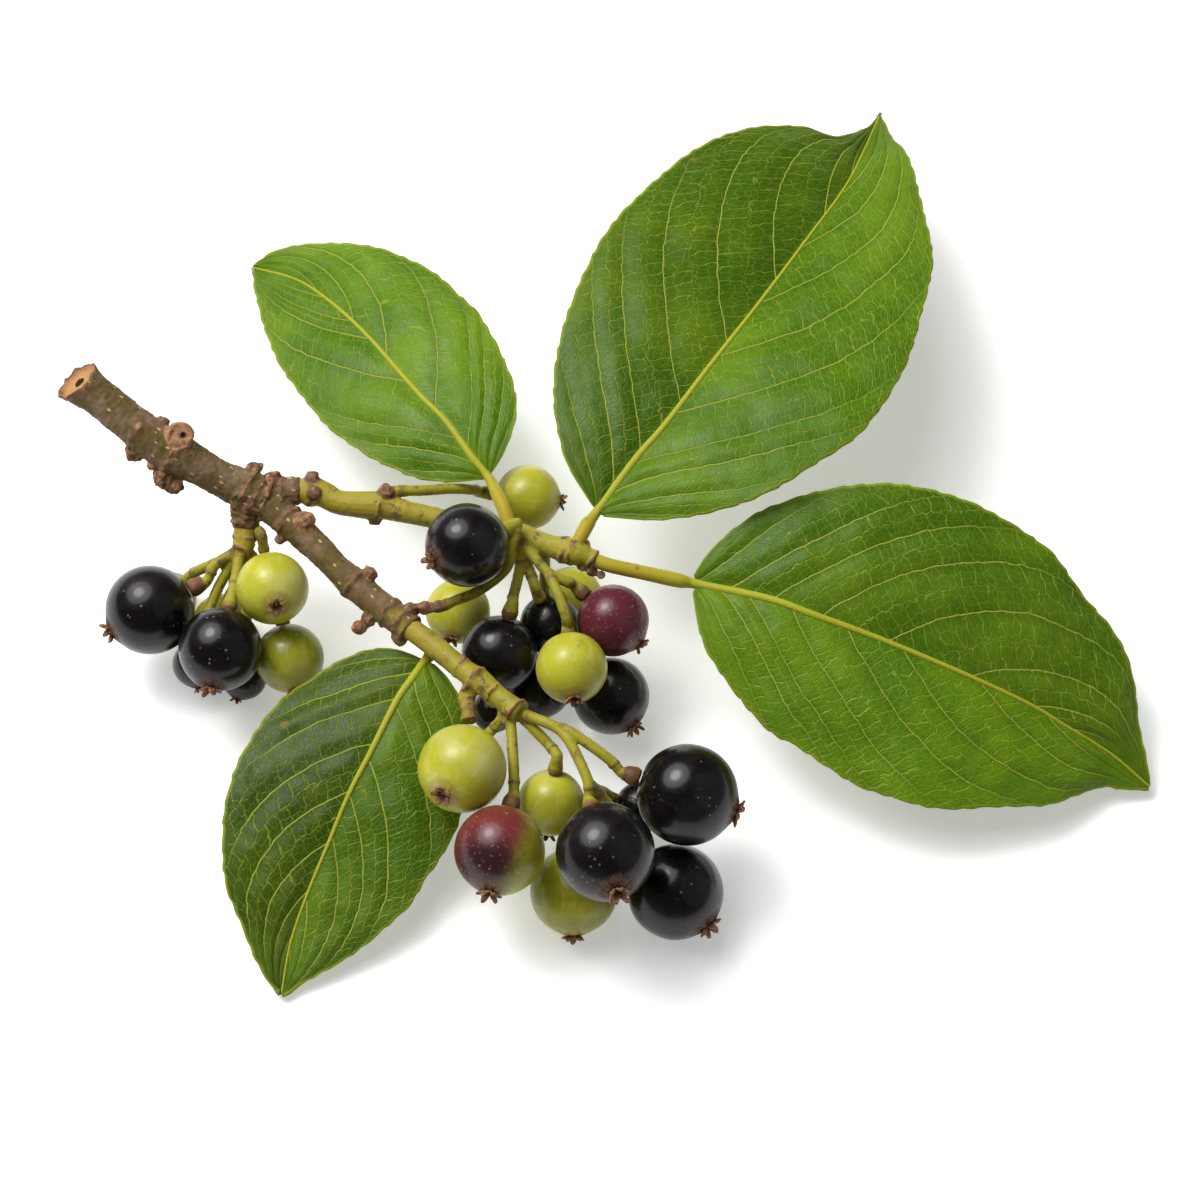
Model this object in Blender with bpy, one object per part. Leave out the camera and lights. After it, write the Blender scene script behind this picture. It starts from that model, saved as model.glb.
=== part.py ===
"""A cut buckthorn sprig with its fruit: woody twig, green shoot and stalks, four leaves and 27 berries.

The tables are in millimetres on the surface that the sprig lies on (z = 0, +Z up), and the
meshes are in metres. Every separate piece is its own object, a small gap away from its neighbours.
"""
import math
from collections import namedtuple

import bmesh
import bpy
from mathutils import Vector

MM = 0.001
# the middle of the sprig's outline on the surface becomes the part's origin
MIDDLE = Vector((0.6, 9.9, 0.0))

GAP = 0.3                    # clearance between two pieces that touch on the real sprig
BLADE_THICKNESS = 0.75
MIDRIB_DEPTH = 0.75          # how far the midrib stands below the blade at its base
MIDRIB_HALF_WIDTH = 0.9
PETIOLE_HALF_WIDTH = 0.75
TOOTH = 0.25                 # height of a tooth on the leaf's margin
LEAF_COLUMNS = (-1.0, -0.55, -0.12, 0.0, 0.12, 0.55, 1.0)

BERRY_SIDES = 15             # three to each of the five calyx lobes
LOBES = 5
BERRY_RINGS = (14, 38, 66, 94, 122, 150)     # degrees from the calyx
CALYX_PIT = 0.90             # all calyx sizes are in berry radii
CALYX_INNER = (0.10, 0.95)
CALYX_VALLEY = (0.14, 1.03)
CALYX_TIP = (0.34, 1.07)

STALK_RADIUS = 0.52
CUP_RADIUS = 0.82            # the stalk widens to this cup under a berry
CUP_LENGTH = 1.1
STALK_SIDES = 6

BARK = ("bark", (0.21, 0.16, 0.11), 0.75)
GREEN_WOOD = ("green_stem", (0.30, 0.32, 0.07), 0.50)
LEAF_GREEN = ("leaf", (0.07, 0.20, 0.02), 0.42)
BLACK = ("berry_black", (0.012, 0.011, 0.016), 0.28)
PURPLE = ("berry_purple", (0.10, 0.015, 0.03), 0.30)
TURNING = ("berry_turning", (0.16, 0.09, 0.04), 0.30)
GREEN = ("berry_green", (0.36, 0.46, 0.06), 0.32)

# centre, radius, way the calyx points, way the stalk leaves, skin
Berry = namedtuple("Berry", "centre radius calyx stalk skin")
BERRIES = {
    "berry_left_1": Berry((-45.1, -0.4, 8.6), 4.47, (-0.89, -0.45, -0.14), (0.89, 0.45, 0.14), BLACK),
    "berry_left_2": Berry((-37.7, -5.8, 10.5), 4.17, (-0.17, -0.98, -0.11), (0.17, 0.98, 0.11), BLACK),
    "berry_left_3": Berry((-32.6, 0.1, 12.3), 3.63, (0.18, -0.82, 0.54), (-0.18, 0.82, -0.4), GREEN),
    "berry_left_4": Berry((-31.1, -4.8, 6.6), 3.46, (0.2, -0.98, -0.08), (-0.2, 0.98, 0.08), GREEN),
    "berry_left_5": Berry((-40.7, -4.0, 3.8), 2.42, (0.12, -0.93, -0.38), (0.15, 0.5, 0.85), BLACK),
    "berry_left_6": Berry((-36.0, -4.7, 2.26), 2.33, (-0.3, -0.84, -0.3), (0.1, 0.4, 0.9), BLACK),
    "berry_left_7": Berry((-38.4, 1.2, 2.86), 2.95, (-0.5, 0.75, -0.35), (0.3, 0.4, 0.87), GREEN),
    "berry_left_8": Berry((-43.8, 4.2, 2.57), 2.65, (-0.6, 0.7, -0.3), (0.5, 0.1, 0.86), GREEN),
    "berry_middle_1": Berry((-13.1, 1.7, 18.3), 4.13, (-0.81, -0.53, 0.24), (0.81, 0.53, -0.24), BLACK),
    "berry_middle_2": Berry((-7.3, 11.5, 10.5), 3.29, (0.99, -0.1, -0.05), (-0.99, 0.1, 0.05), GREEN),
    "berry_middle_3": Berry((-14.3, 0.4, 6.8), 3.26, (-0.18, -0.98, 0.08), (0.18, 0.98, -0.08), GREEN),
    "berry_middle_4": Berry((-10.0, -6.2, 10.4), 3.78, (-0.25, -0.69, -0.67), (0.25, 0.69, 0.67), BLACK),
    "berry_middle_5": Berry((-5.0, -1.8, 8.2), 3.05, (0.3, -0.4, -0.87), (-0.3, 0.4, 0.87), BLACK),
    "berry_middle_6": Berry((1.3, -3.0, 11.3), 3.58, (0.74, -0.64, -0.23), (-0.74, 0.64, 0.23), PURPLE),
    "berry_middle_7": Berry((-2.8, -9.0, 12.7), 3.54, (0.08, -0.99, 0.13), (-0.08, 0.99, -0.13), GREEN),
    "berry_middle_8": Berry((1.1, -8.7, 5.9), 3.85, (0.57, -0.81, -0.14), (-0.57, 0.81, 0.14), BLACK),
    "berry_middle_9": Berry((-2.9, 4.0, 3.06), 3.16, (0.55, 0.65, -0.45), (-0.5, -0.6, 0.62), GREEN),
    "berry_middle_10": Berry((-6.2, -6.2, 3.28), 3.38, (-0.6, 0.6, -0.45), (0.0, 0.6, 0.8), BLACK),
    "berry_middle_11": Berry((-10.6, -10.0, 5.2), 2.20, (-0.3, 0.4, -0.85), (0.0, -0.1, 1.0), BLACK),
    "berry_front_1": Berry((-13.4, -20.1, 12.9), 4.31, (-0.41, -0.82, 0.39), (0.41, 0.82, -0.39), GREEN),
    "berry_front_2": Berry((-9.7, -27.9, 10.9), 4.40, (-0.21, -0.98, -0.03), (0.21, 0.98, 0.03), TURNING),
    "berry_front_3": Berry((-4.8, -21.3, 7.7), 3.27, (-0.12, -0.66, -0.74), (0.12, 0.6, 0.79), GREEN),
    "berry_front_4": Berry((0.5, -29.5, 14.0), 4.79, (0.24, -0.95, 0.21), (-0.24, 0.95, -0.21), BLACK),
    "berry_front_5": Berry((8.5, -22.3, 11.6), 4.96, (0.94, -0.31, -0.11), (-0.94, 0.31, 0.11), BLACK),
    "berry_front_6": Berry((7.4, -29.45, 4.55), 4.70, (0.68, -0.73, -0.1), (-0.68, 0.73, 0.1), BLACK),
    "berry_front_7": Berry((-2.55, -29.2, 4.18), 4.31, (0.0, -0.9, -0.42), (0.25, 0.83, 0.5), GREEN),
    "berry_front_8": Berry((4.0, -20.5, 4.9), 2.57, (0.93, -0.17, -0.32), (-0.93, 0.17, 0.32), BLACK),
}

# stems: points of the middle line with the radius there
MAIN_STEM = ((-52.2, 19.2, 20.6, 2.45), (-51.2, 18.5, 20.2, 2.1), (-49.5, 17.4, 19.5, 1.95),
             (-46.0, 14.9, 18.2, 2.0), (-43.9, 13.6, 17.3, 2.05), (-42.2, 12.9, 16.6, 2.2),
             (-40.3, 12.1, 15.9, 1.9), (-38.0, 11.1, 15.0, 1.85), (-35.6, 10.3, 14.2, 2.05),
             (-33.7, 9.4, 13.7, 2.15))
CUT_FACE = Vector((-0.62, 0.37, 0.69))
LOWER_BRANCH = ((-34.6, 9.9, 13.9, 1.6), (-33.0, 8.8, 13.6, 1.75), (-31.5, 7.4, 13.4, 1.65),
                (-28.5, 4.6, 13.0, 1.5), (-26.2, 2.1, 12.8, 1.4), (-24.4, 0.4, 12.6, 1.6),
                (-22.6, -1.3, 12.5, 1.45), (-20.6, -3.0, 12.5, 1.5), (-18.75, -4.6, 12.5, 1.4))
SHOOT_COLLAR = ((-32.8, 9.8, 13.9, 1.5), (-31.4, 10.2, 14.0, 1.45), (-30.1, 10.25, 14.0, 1.3))
LEFT_COLLAR = ((-35.3, 9.2, 13.2, 1.5), (-35.5, 8.2, 12.5, 1.5), (-35.55, 7.4, 12.0, 1.35))
# middle and radius of the buds, scars and spur knobs on the bark
BARK_KNOBS = ((-41.9, 14.0, 18.4, 1.5), (-43.7, 10.9, 15.4, 1.2), (-42.7, 10.3, 14.9, 1.0),
              (-46.6, 13.0, 16.7, 1.0), (-43.7, 15.7, 18.2, 0.8), (-34.8, 12.2, 14.9, 0.9),
              (-32.7, 10.8, 14.7, 1.0), (-29.4, 6.5, 14.5, 1.1), (-32.0, 5.5, 12.6, 0.6),
              (-22.8, 1.0, 13.6, 0.8), (-22.9, -3.2, 11.9, 0.8), (-23.9, -3.9, 11.4, 0.85),
              (-19.8, -5.2, 11.7, 0.9), (-18.7, -2.7, 12.9, 0.85), (-17.4, -2.5, 13.0, 0.8))

GREEN_TIP = ((-18.5, -4.85, 12.6, 1.05), (-16.8, -6.2, 12.7, 1.15), (-13.8, -9.0, 12.9, 1.1),
             (-11.7, -10.75, 13.1, 1.25), (-10.5, -11.8, 13.1, 1.05), (-9.3, -12.9, 13.1, 1.05),
             (-7.7, -14.2, 13.2, 1.15))
BARE_SPUR = ((-12.1, -10.6, 12.8, 0.95), (-13.1, -11.7, 12.0, 0.85), (-12.9, -13.4, 11.9, 0.7),
             (-12.8, -14.4, 11.9, 0.8))
SIDE_SHOOT = ((-29.6, 10.25, 14.0, 1.25), (-28.9, 10.2, 14.0, 1.5), (-27.7, 9.8, 14.1, 1.35),
              (-26.0, 8.9, 14.0, 1.25), (-22.4, 8.5, 14.1, 1.45),
              (-20.8, 8.2, 14.0, 1.2), (-15.0, 6.9, 13.8, 1.05), (-11.0, 6.0, 13.9, 1.1),
              (-8.3, 5.1, 14.2, 1.3), (-5.5, 3.9, 14.5, 1.1), (-3.4, 3.1, 14.7, 1.3),
              (-2.2, 2.7, 14.8, 1.3))
SHOOT_KNOBS = ((-28.8, 11.1, 15.0, 0.8), (-28.5, 9.3, 15.3, 0.6), (-21.4, 9.5, 15.0, 0.9),
               (-22.6, 7.5, 13.2, 0.8), (-1.8, 1.8, 14.1, 0.8))
MIDDLE_SPUR = ((-8.4, 4.9, 14.0, 1.0), (-7.9, 3.5, 13.6, 1.0), (-7.6, 2.6, 13.3, 0.9))
LEFT_SPUR = ((-35.6, 6.4, 11.5, 1.15), (-35.8, 5.6, 11.2, 1.1), (-36.1, 5.0, 10.9, 0.9))

# where each stalk starts and what it passes; its last stretch runs straight at its berry
Stalk = namedtuple("Stalk", "berry via")
LEFT_STALKS = (
    Stalk("berry_left_1", ((-36.0, 5.2, 11.0), (-38.5, 3.9, 10.4))),
    Stalk("berry_left_2", ((-36.1, 5.1, 11.0), (-36.4, 2.4, 11.0))),
    Stalk("berry_left_4", ((-35.8, 5.5, 11.0), (-34.6, 4.6, 9.6), (-33.0, 2.0, 7.9))),
    Stalk("berry_left_5", ((-36.2, 5.1, 10.9), (-38.2, 2.4, 8.8), (-39.5, -0.4, 7.5))),
    Stalk("berry_left_6", ((-35.9, 5.2, 10.9), (-35.6, 2.2, 8.2), (-35.6, -1.6, 6.2))),
    Stalk("berry_left_7", ((-36.2, 5.2, 10.8), (-36.9, 3.9, 7.9))),
    Stalk("berry_left_8", ((-38.2, 4.1, 10.4), (-40.3, 4.4, 8.3))),
)
LEFT_GREEN_STALK = (Stalk("berry_left_3", ((-34.3, 6.9, 12.2), (-33.9, 6.0, 12.1))),)
SHOOT_STALKS = (
    Stalk("berry_middle_2", ((-20.7, 9.7, 15.0), (-18.0, 10.0, 14.5), (-14.9, 10.8, 13.5),
                             (-12.6, 11.4, 12.2))),
    Stalk("berry_middle_3", ((-14.9, 6.6, 13.3), (-14.5, 6.4, 11.3), (-13.9, 5.4, 8.4))),
    Stalk("berry_middle_4", ((-7.8, 3.2, 13.5), (-8.0, 1.8, 13.1), (-8.6, -1.6, 13.5))),
    Stalk("berry_middle_5", ((-7.6, 2.8, 13.3), (-7.0, 1.8, 12.7))),
    Stalk("berry_middle_6", ((-8.2, 4.4, 14.3), (-6.9, 2.9, 14.4), (-5.1, 0.8, 14.2), (-3.2, 0.1, 13.6))),
    Stalk("berry_middle_7", ((-5.1, 0.8, 14.2), (-4.1, -1.8, 14.4), (-3.3, -3.9, 13.6))),
    Stalk("berry_middle_8", ((-4.1, -1.6, 14.3), (-3.4, -2.6, 12.4), (-2.5, -4.2, 9.7))),
    Stalk("berry_middle_9", ((-5.6, 3.9, 14.0), (-5.5, 3.5, 11.5), (-5.6, 2.5, 8.0))),
)
TIP_STALKS = (
    Stalk("berry_middle_11", ((-11.4, -11.1, 12.6), (-10.9, -11.4, 10.6))),
    Stalk("berry_front_1", ((-9.3, -13.3, 12.7), (-9.7, -14.4, 12.0))),
    Stalk("berry_front_2", ((-8.9, -13.4, 12.6), (-8.7, -15.4, 12.3), (-8.4, -19.5, 11.9))),
    Stalk("berry_front_3", ((-7.9, -14.0, 12.6), (-5.0, -16.9, 11.6))),
    Stalk("berry_front_4", ((-7.8, -14.1, 13.0), (-4.4, -15.9, 13.6), (-2.9, -17.8, 13.9),
                            (-1.2, -21.6, 13.4))),
    Stalk("berry_front_5", ((-4.4, -15.9, 13.6), (-2.5, -16.9, 13.9), (0.9, -19.2, 13.1))),
    Stalk("berry_front_6", ((-0.6, -21.6, 11.6), (1.2, -22.8, 9.3), (2.6, -24.6, 7.4))),
    Stalk("berry_front_7", ((-0.7, -21.6, 11.3), (-0.9, -23.1, 9.3))),
    Stalk("berry_front_8", ((-1.1, -21.9, 13.2), (-0.4, -21.5, 11.3), (0.3, -21.0, 9.6),
                            (0.9, -20.4, 7.2))),
)
UPPER_STALK = (Stalk("berry_middle_1", ((-16.2, -2.6, 13.2), (-14.5, -1.9, 13.3), (-11.9, -0.6, 13.3),
                                        (-9.3, 1.1, 14.6), (-8.8, 2.8, 15.9))),)
# the last pedicel of the middle cluster's fork grows from the branch's spur, not from the shoot

# leaves: the petiole, then three rails from the blade's base to its tip
Leaf = namedtuple("Leaf", "petiole midrib left right wave")
LEAVES = {
    "leaf_upper_right": Leaf(
        petiole=((-1.9, 4.2, 15.7), (-1.2, 5.6, 15.8)),
        midrib=((-0.3, 7.1, 15.6), (3.5, 12.2, 17.0), (6.6, 16.0, 17.6), (11.2, 22.8, 17.8),
                (16.0, 30.3, 16.9), (21.6, 39.9, 15.0), (26.1, 48.4, 12.6), (29.9, 58.9, 9.5)),
        left=((-0.8, 7.7, 15.6), (-3.4, 12.2, 16.8), (-4.6, 18.6, 17.8), (-4.0, 25.2, 18.6),
              (-1.9, 32.2, 18.8), (1.7, 39.9, 18.2), (8.4, 48.3, 16.6), (15.1, 53.3, 14.8),
              (21.1, 54.7, 13.2), (24.9, 54.3, 12.0), (28.3, 56.7, 10.4), (29.8, 58.9, 9.5)),
        right=((0.4, 6.4, 15.6), (5.5, 5.6, 16.4), (10.9, 5.9, 17.6), (16.3, 7.3, 18.8),
               (21.7, 10.6, 19.6), (26.0, 13.9, 19.8), (30.4, 21.4, 19.0), (32.7, 29.2, 17.8),
               (34.1, 35.9, 16.4), (33.7, 41.9, 15.0), (32.5, 51.0, 12.6), (30.9, 54.9, 11.0),
               (30.0, 58.8, 9.5)),
        wave=0.3),
    "leaf_right": Leaf(
        petiole=((-0.3, 1.9, 14.85), (1.1, 1.4, 14.8), (4.4, 0.8, 14.4), (7.9, 0.2, 13.9)),
        midrib=((9.6, 0.0, 13.6), (16.6, -2.0, 14.2), (21.1, -3.7, 14.0), (27.7, -5.7, 12.6),
                (35.7, -8.3, 10.4), (42.4, -10.4, 7.8), (46.4, -12.1, 6.0), (51.0, -14.0, 3.6),
                (54.9, -16.6, 1.5)),
        left=((9.3, 0.8, 13.7), (11.0, 3.0, 14.8), (14.0, 5.5, 15.6), (17.3, 7.2, 16.2),
              (23.4, 9.0, 16.6), (30.4, 9.6, 16.2), (37.5, 8.2, 14.8), (44.5, 4.7, 12.4),
              (48.0, 0.7, 10.4), (51.5, -2.9, 8.2), (53.2, -6.6, 6.4), (53.9, -11.3, 4.0),
              (54.7, -14.6, 2.4), (55.0, -16.5, 1.5)),
        right=((9.2, -1.1, 13.4), (9.9, -5.0, 12.6), (11.6, -8.3, 11.6), (16.2, -13.9, 9.8),
               (19.7, -16.0, 9.0), (24.8, -19.1, 7.8), (30.0, -20.8, 6.9), (34.1, -21.3, 6.2),
               (40.5, -20.5, 5.2), (44.1, -19.9, 4.2), (47.7, -18.2, 3.2), (50.1, -17.0, 2.4),
               (52.7, -17.0, 1.6), (54.8, -16.8, 1.4)),
        wave=0.3),
    "leaf_lower_left": Leaf(
        petiole=((-16.8, -6.3, 10.5),),
        midrib=((-17.3, -7.0, 10.6), (-18.6, -9.2, 10.8), (-20.1, -11.5, 10.4), (-22.6, -16.6, 9.2),
                (-24.6, -20.4, 8.0), (-26.7, -25.1, 6.0), (-28.7, -29.5, 3.9), (-30.3, -33.9, 2.1),
                (-31.1, -38.7, 0.8)),
        left=((-18.1, -6.6, 10.4), (-21.0, -5.6, 10.2), (-24.6, -5.9, 9.4), (-28.8, -8.3, 8.6),
              (-31.9, -10.8, 8.2), (-35.3, -16.0, 7.4), (-36.8, -20.9, 6.4), (-37.0, -24.8, 5.4),
              (-36.6, -28.6, 4.2), (-34.8, -32.7, 2.7), (-33.8, -35.1, 2.0), (-32.4, -37.4, 1.3),
              (-31.2, -38.7, 0.8)),
        right=((-16.4, -7.5, 10.5), (-14.8, -9.4, 10.4), (-13.7, -11.6, 9.6), (-13.1, -14.8, 8.4),
               (-13.2, -19.1, 7.2), (-14.1, -23.3, 6.2), (-15.5, -25.9, 5.5), (-17.2, -28.3, 4.8),
               (-18.7, -30.7, 4.1), (-21.3, -33.0, 3.3), (-24.4, -35.2, 2.4), (-28.2, -37.3, 1.4),
               (-31.0, -38.8, 0.8)),
        wave=0.2),
    "leaf_upper_left": Leaf(
        petiole=((-9.5, 7.4, 15.2), (-10.1, 9.0, 15.1)),
        midrib=((-11.2, 11.5, 14.8), (-13.0, 13.8, 15.2), (-15.6, 17.7, 15.4), (-18.4, 21.1, 15.0),
                (-24.0, 29.2, 13.2), (-28.3, 34.8, 11.0), (-31.9, 38.4, 9.2), (-36.4, 41.4, 6.6)),
        left=((-11.8, 11.2, 14.6), (-14.6, 11.2, 14.2), (-17.1, 11.8, 13.6), (-19.6, 12.7, 13.2),
              (-22.2, 14.3, 12.8), (-24.8, 16.3, 12.2), (-27.5, 18.9, 11.6), (-30.2, 22.8, 10.8),
              (-33.0, 27.7, 9.8), (-34.7, 32.4, 8.8), (-35.8, 36.7, 7.8), (-36.3, 39.4, 7.0),
              (-36.5, 41.3, 6.6)),
        right=((-10.7, 12.1, 14.9), (-9.6, 14.0, 15.3), (-8.7, 16.9, 15.7), (-8.5, 19.7, 15.9),
               (-9.6, 24.0, 15.9), (-12.3, 30.0, 15.2), (-14.9, 33.3, 14.6), (-17.6, 36.5, 13.8),
               (-22.9, 40.1, 12.2), (-28.3, 42.2, 10.2), (-33.1, 42.8, 8.2), (-35.6, 42.2, 7.0),
               (-36.4, 41.5, 6.6)),
        wave=0.2),
}


def material(finish):
    """Return the Principled material for a (name, colour, roughness) finish."""
    name, colour, roughness = finish
    made = bpy.data.materials.get(name)
    if made is None:
        made = bpy.data.materials.new(name)
        made.use_nodes = True
        shader = made.node_tree.nodes["Principled BSDF"]
        shader.inputs["Base Color"].default_value = (*colour, 1.0)
        shader.inputs["Roughness"].default_value = roughness
        shader.inputs["Metallic"].default_value = 0.0
    return made


def add_object(name, bm, finish, smooth_degrees=50):
    """Turn a millimetre bmesh into a metre object placed about the part's origin."""
    for vert in bm.verts:
        vert.co = (vert.co - MIDDLE) * MM
    mesh = bpy.data.meshes.new(name)
    bm.to_mesh(mesh)
    bm.free()
    mesh.shade_smooth()
    mesh.set_sharp_from_angle(angle=math.radians(smooth_degrees))
    made = bpy.data.objects.new(name, mesh)
    made.data.materials.append(material(finish))
    bpy.context.scene.collection.objects.link(made)
    return made


def spline(points, count):
    """Return count + 1 evenly spaced points on a smooth curve through the points."""
    knots = [Vector(point) for point in points]
    knots = [knots[0] * 2 - knots[1], *knots, knots[-1] * 2 - knots[-2]]
    dense = []
    for before, start, end, after in zip(knots, knots[1:], knots[2:], knots[3:]):
        for part in range(12):
            t = part / 12
            dense.append(0.5 * (2 * start + (end - before) * t
                                + (2 * before - 5 * start + 4 * end - after) * t * t
                                + (3 * start - before - 3 * end + after) * t ** 3))
    dense.append(knots[-2])
    reach = [0.0]
    for here, there in zip(dense, dense[1:]):
        reach.append(reach[-1] + (there - here).length)
    even, at = [], 0
    for index in range(count + 1):
        want = reach[-1] * index / count
        while at < len(reach) - 2 and reach[at + 1] < want:
            at += 1
        share = (want - reach[at]) / (reach[at + 1] - reach[at])
        even.append(dense[at].lerp(dense[at + 1], share))
    return even


def length_of(points):
    """Length of the open polyline through the points' first three numbers."""
    spots = [Vector(point[:3]) for point in points]
    return sum((there - here).length for here, there in zip(spots, spots[1:]))


def tube(points, sides, step, cut=None):
    """Make a closed tube along points (x, y, z, radius); cut is the normal of a slanted first end."""
    rows = spline(points, max(3, round(length_of(points) / step)))
    centres = [row.to_3d() for row in rows]
    bm = bmesh.new()
    rings = []
    side = None
    for index, (centre, row) in enumerate(zip(centres, rows)):
        ahead = centres[min(index + 1, len(rows) - 1)] - centres[max(index - 1, 0)]
        ahead.normalize()
        side = (side or ahead.orthogonal()).cross(ahead).cross(ahead) * -1.0
        side.normalize()
        up = ahead.cross(side)
        ring = []
        for turn in range(sides):
            angle = 2 * math.pi * turn / sides
            spot = centre + (side * math.cos(angle) + up * math.sin(angle)) * row[3]
            if cut and index == 0:
                spot -= ahead * (cut.dot(spot - centre) / cut.dot(ahead))
            ring.append(bm.verts.new(spot))
        rings.append(ring)
    close_rings(bm, rings)
    return bm


def close_rings(bm, rings):
    """Join rings of vertices into a closed skin with a flat face at each end."""
    for here, there in zip(rings, rings[1:]):
        for turn in range(len(here)):
            after = (turn + 1) % len(here)
            bm.faces.new((here[turn], here[after], there[after], there[turn]))
    bm.faces.new(rings[0][::-1])
    bm.faces.new(rings[-1])
    bmesh.ops.recalc_face_normals(bm, faces=bm.faces)


def ball(x, y, z, radius):
    """Make a knob, bud or scar as a small ball."""
    bm = bmesh.new()
    bmesh.ops.create_icosphere(bm, subdivisions=1, radius=radius)
    bmesh.ops.translate(bm, verts=bm.verts, vec=(x, y, z))
    return bm


def berry_end(berry, distance):
    """Point on the line of a berry's stalk, at a distance from the berry's skin."""
    return Vector(berry.centre) + Vector(berry.stalk).normalized() * (berry.radius + distance)


def stalk_tube(stalk):
    """Make a stalk from its start to just short of its berry, with the cup at its end."""
    berry = BERRIES[stalk.berry]
    neck = berry_end(berry, GAP + CUP_LENGTH)
    run = [(*spot, STALK_RADIUS) for spot in stalk.via]
    run.append((*neck, STALK_RADIUS))
    run.append((*berry_end(berry, GAP), CUP_RADIUS))
    return tube(run, STALK_SIDES, step=1.3)


def fuse(name, shapes, finish):
    """Join overlapping closed shapes into one solid with a Boolean union on a collection."""
    base, *others = [add_object(f"{name}_{index}", bm, finish) for index, bm in enumerate(shapes)]
    base.name = base.data.name = name
    if not others:
        return base
    group = bpy.data.collections.new(name + "_shapes")
    bpy.context.scene.collection.children.link(group)
    for other in others:
        bpy.context.scene.collection.objects.unlink(other)
        group.objects.link(other)
    union = base.modifiers.new("union", "BOOLEAN")
    union.operation = "UNION"
    union.operand_type = "COLLECTION"
    union.collection = group
    union.solver = "EXACT"
    graph = bpy.context.evaluated_depsgraph_get()
    joined = bpy.data.meshes.new_from_object(base.evaluated_get(graph))
    base.modifiers.clear()
    base.data = joined
    joined.name = name
    for other in others:
        bpy.data.objects.remove(other)
    bpy.data.collections.remove(group)
    return base


def make_berry(name, berry):
    """Turn a berry about its calyx axis, with a five-lobed calyx star and a flat where it rests."""
    bm = bmesh.new()
    turned = Vector((0, 0, 1)).rotation_difference(Vector(berry.calyx))

    def spot(out, along, turn):
        angle = 2 * math.pi * turn / BERRY_SIDES
        local = Vector((out * math.cos(angle), out * math.sin(angle), along)) * berry.radius
        return bm.verts.new(Vector(berry.centre) + turned @ local)

    def ring(size_at):
        return [spot(*size_at(turn), turn) for turn in range(BERRY_SIDES)]

    rings = [ring(lambda turn: CALYX_INNER),
             ring(lambda turn: CALYX_TIP if turn % (BERRY_SIDES // LOBES) == 0 else CALYX_VALLEY)]
    for degrees in BERRY_RINGS:
        angle = math.radians(degrees)
        rings.append(ring(lambda turn, a=angle: (math.sin(a), math.cos(a))))
    pit, pole = spot(0, CALYX_PIT, 0), spot(0, -1, 0)
    for here, there in zip(rings, rings[1:]):
        for turn in range(BERRY_SIDES):
            after = (turn + 1) % BERRY_SIDES
            bm.faces.new((here[turn], there[turn], there[after], here[after]))
    for turn in range(BERRY_SIDES):
        after = (turn + 1) % BERRY_SIDES
        bm.faces.new((pit, rings[0][turn], rings[0][after]))
        bm.faces.new((pole, rings[-1][after], rings[-1][turn]))
    if berry.centre[2] < berry.radius:
        flatten_below(bm)
    bmesh.ops.triangulate(bm, faces=[face for face in bm.faces if len(face.verts) == 4])
    bmesh.ops.recalc_face_normals(bm, faces=bm.faces)
    return add_object(name, bm, berry.skin)


def flatten_below(bm):
    """Cut away what is below the surface and close the cut with a flat face."""
    everything = [*bm.verts, *bm.edges, *bm.faces]
    cut = bmesh.ops.bisect_plane(bm, geom=everything, plane_co=(0, 0, 0), plane_no=(0, 0, 1),
                                 clear_inner=True)
    rim = [item for item in cut["geom_cut"] if isinstance(item, bmesh.types.BMEdge)]
    bmesh.ops.contextual_create(bm, geom=rim)


def make_leaf(name, leaf):
    """Make petiole, midrib and blade as one closed sheet, split alike on both faces."""
    blade_rows = max(20, round(length_of(leaf.midrib) / 1.45))
    midrib, left, right = (spline(rail, blade_rows) for rail in (leaf.midrib, leaf.left, leaf.right))
    rows = []
    stem = spline((*leaf.petiole, leaf.midrib[0]), max(2, round(length_of(leaf.petiole) / 1.4) + 1))
    for index, centre in enumerate(stem[:-1]):
        across = Vector((0, 0, 1)).cross(stem[index + 1] - centre).normalized() * PETIOLE_HALF_WIDTH
        rows.append((centre + across, centre, centre - across, 1.0))
    for index, centre in enumerate(midrib):
        tooth = TOOTH if index % 2 else 0.0
        ripple = leaf.wave * math.sin(index * 1.1)
        edges = []
        for rail in (left, right):
            across = rail[index] - centre
            wide = max(across.length, 0.35)
            edges.append(centre + across.normalized() * (wide + tooth) + Vector((0, 0, ripple)))
        share = index / blade_rows
        rows.append((edges[0], centre, edges[1], 1.0 - 0.75 * share))
    bm = bmesh.new()
    top, bottom = [], []
    for index, (edge_left, centre, edge_right, rib) in enumerate(rows):
        before, after = rows[max(index - 1, 0)], rows[min(index + 1, len(rows) - 1)]
        up = (after[1] - before[1]).cross(edge_left - edge_right).normalized()
        if up.z < 0:
            up.negate()
        top_row, bottom_row = [], []
        for column in LEAF_COLUMNS:
            edge = edge_left if column < 0 else edge_right
            spot = centre.lerp(edge, abs(column))
            off = (spot - centre).length / MIDRIB_HALF_WIDTH
            bulge = 0.05 * (edge - centre).length * math.sin(math.pi * abs(column))
            depth = MIDRIB_DEPTH * rib * max(0.0, 1.0 - off * off)
            top_row.append(bm.verts.new(spot + up * (bulge + BLADE_THICKNESS / 2)))
            bottom_row.append(bm.verts.new(spot + up * (bulge - BLADE_THICKNESS / 2 - depth)))
        top.append(top_row)
        bottom.append(bottom_row)
    close_sheet(bm, top, bottom)
    return add_object(name, bm, LEAF_GREEN, smooth_degrees=60)


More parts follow.
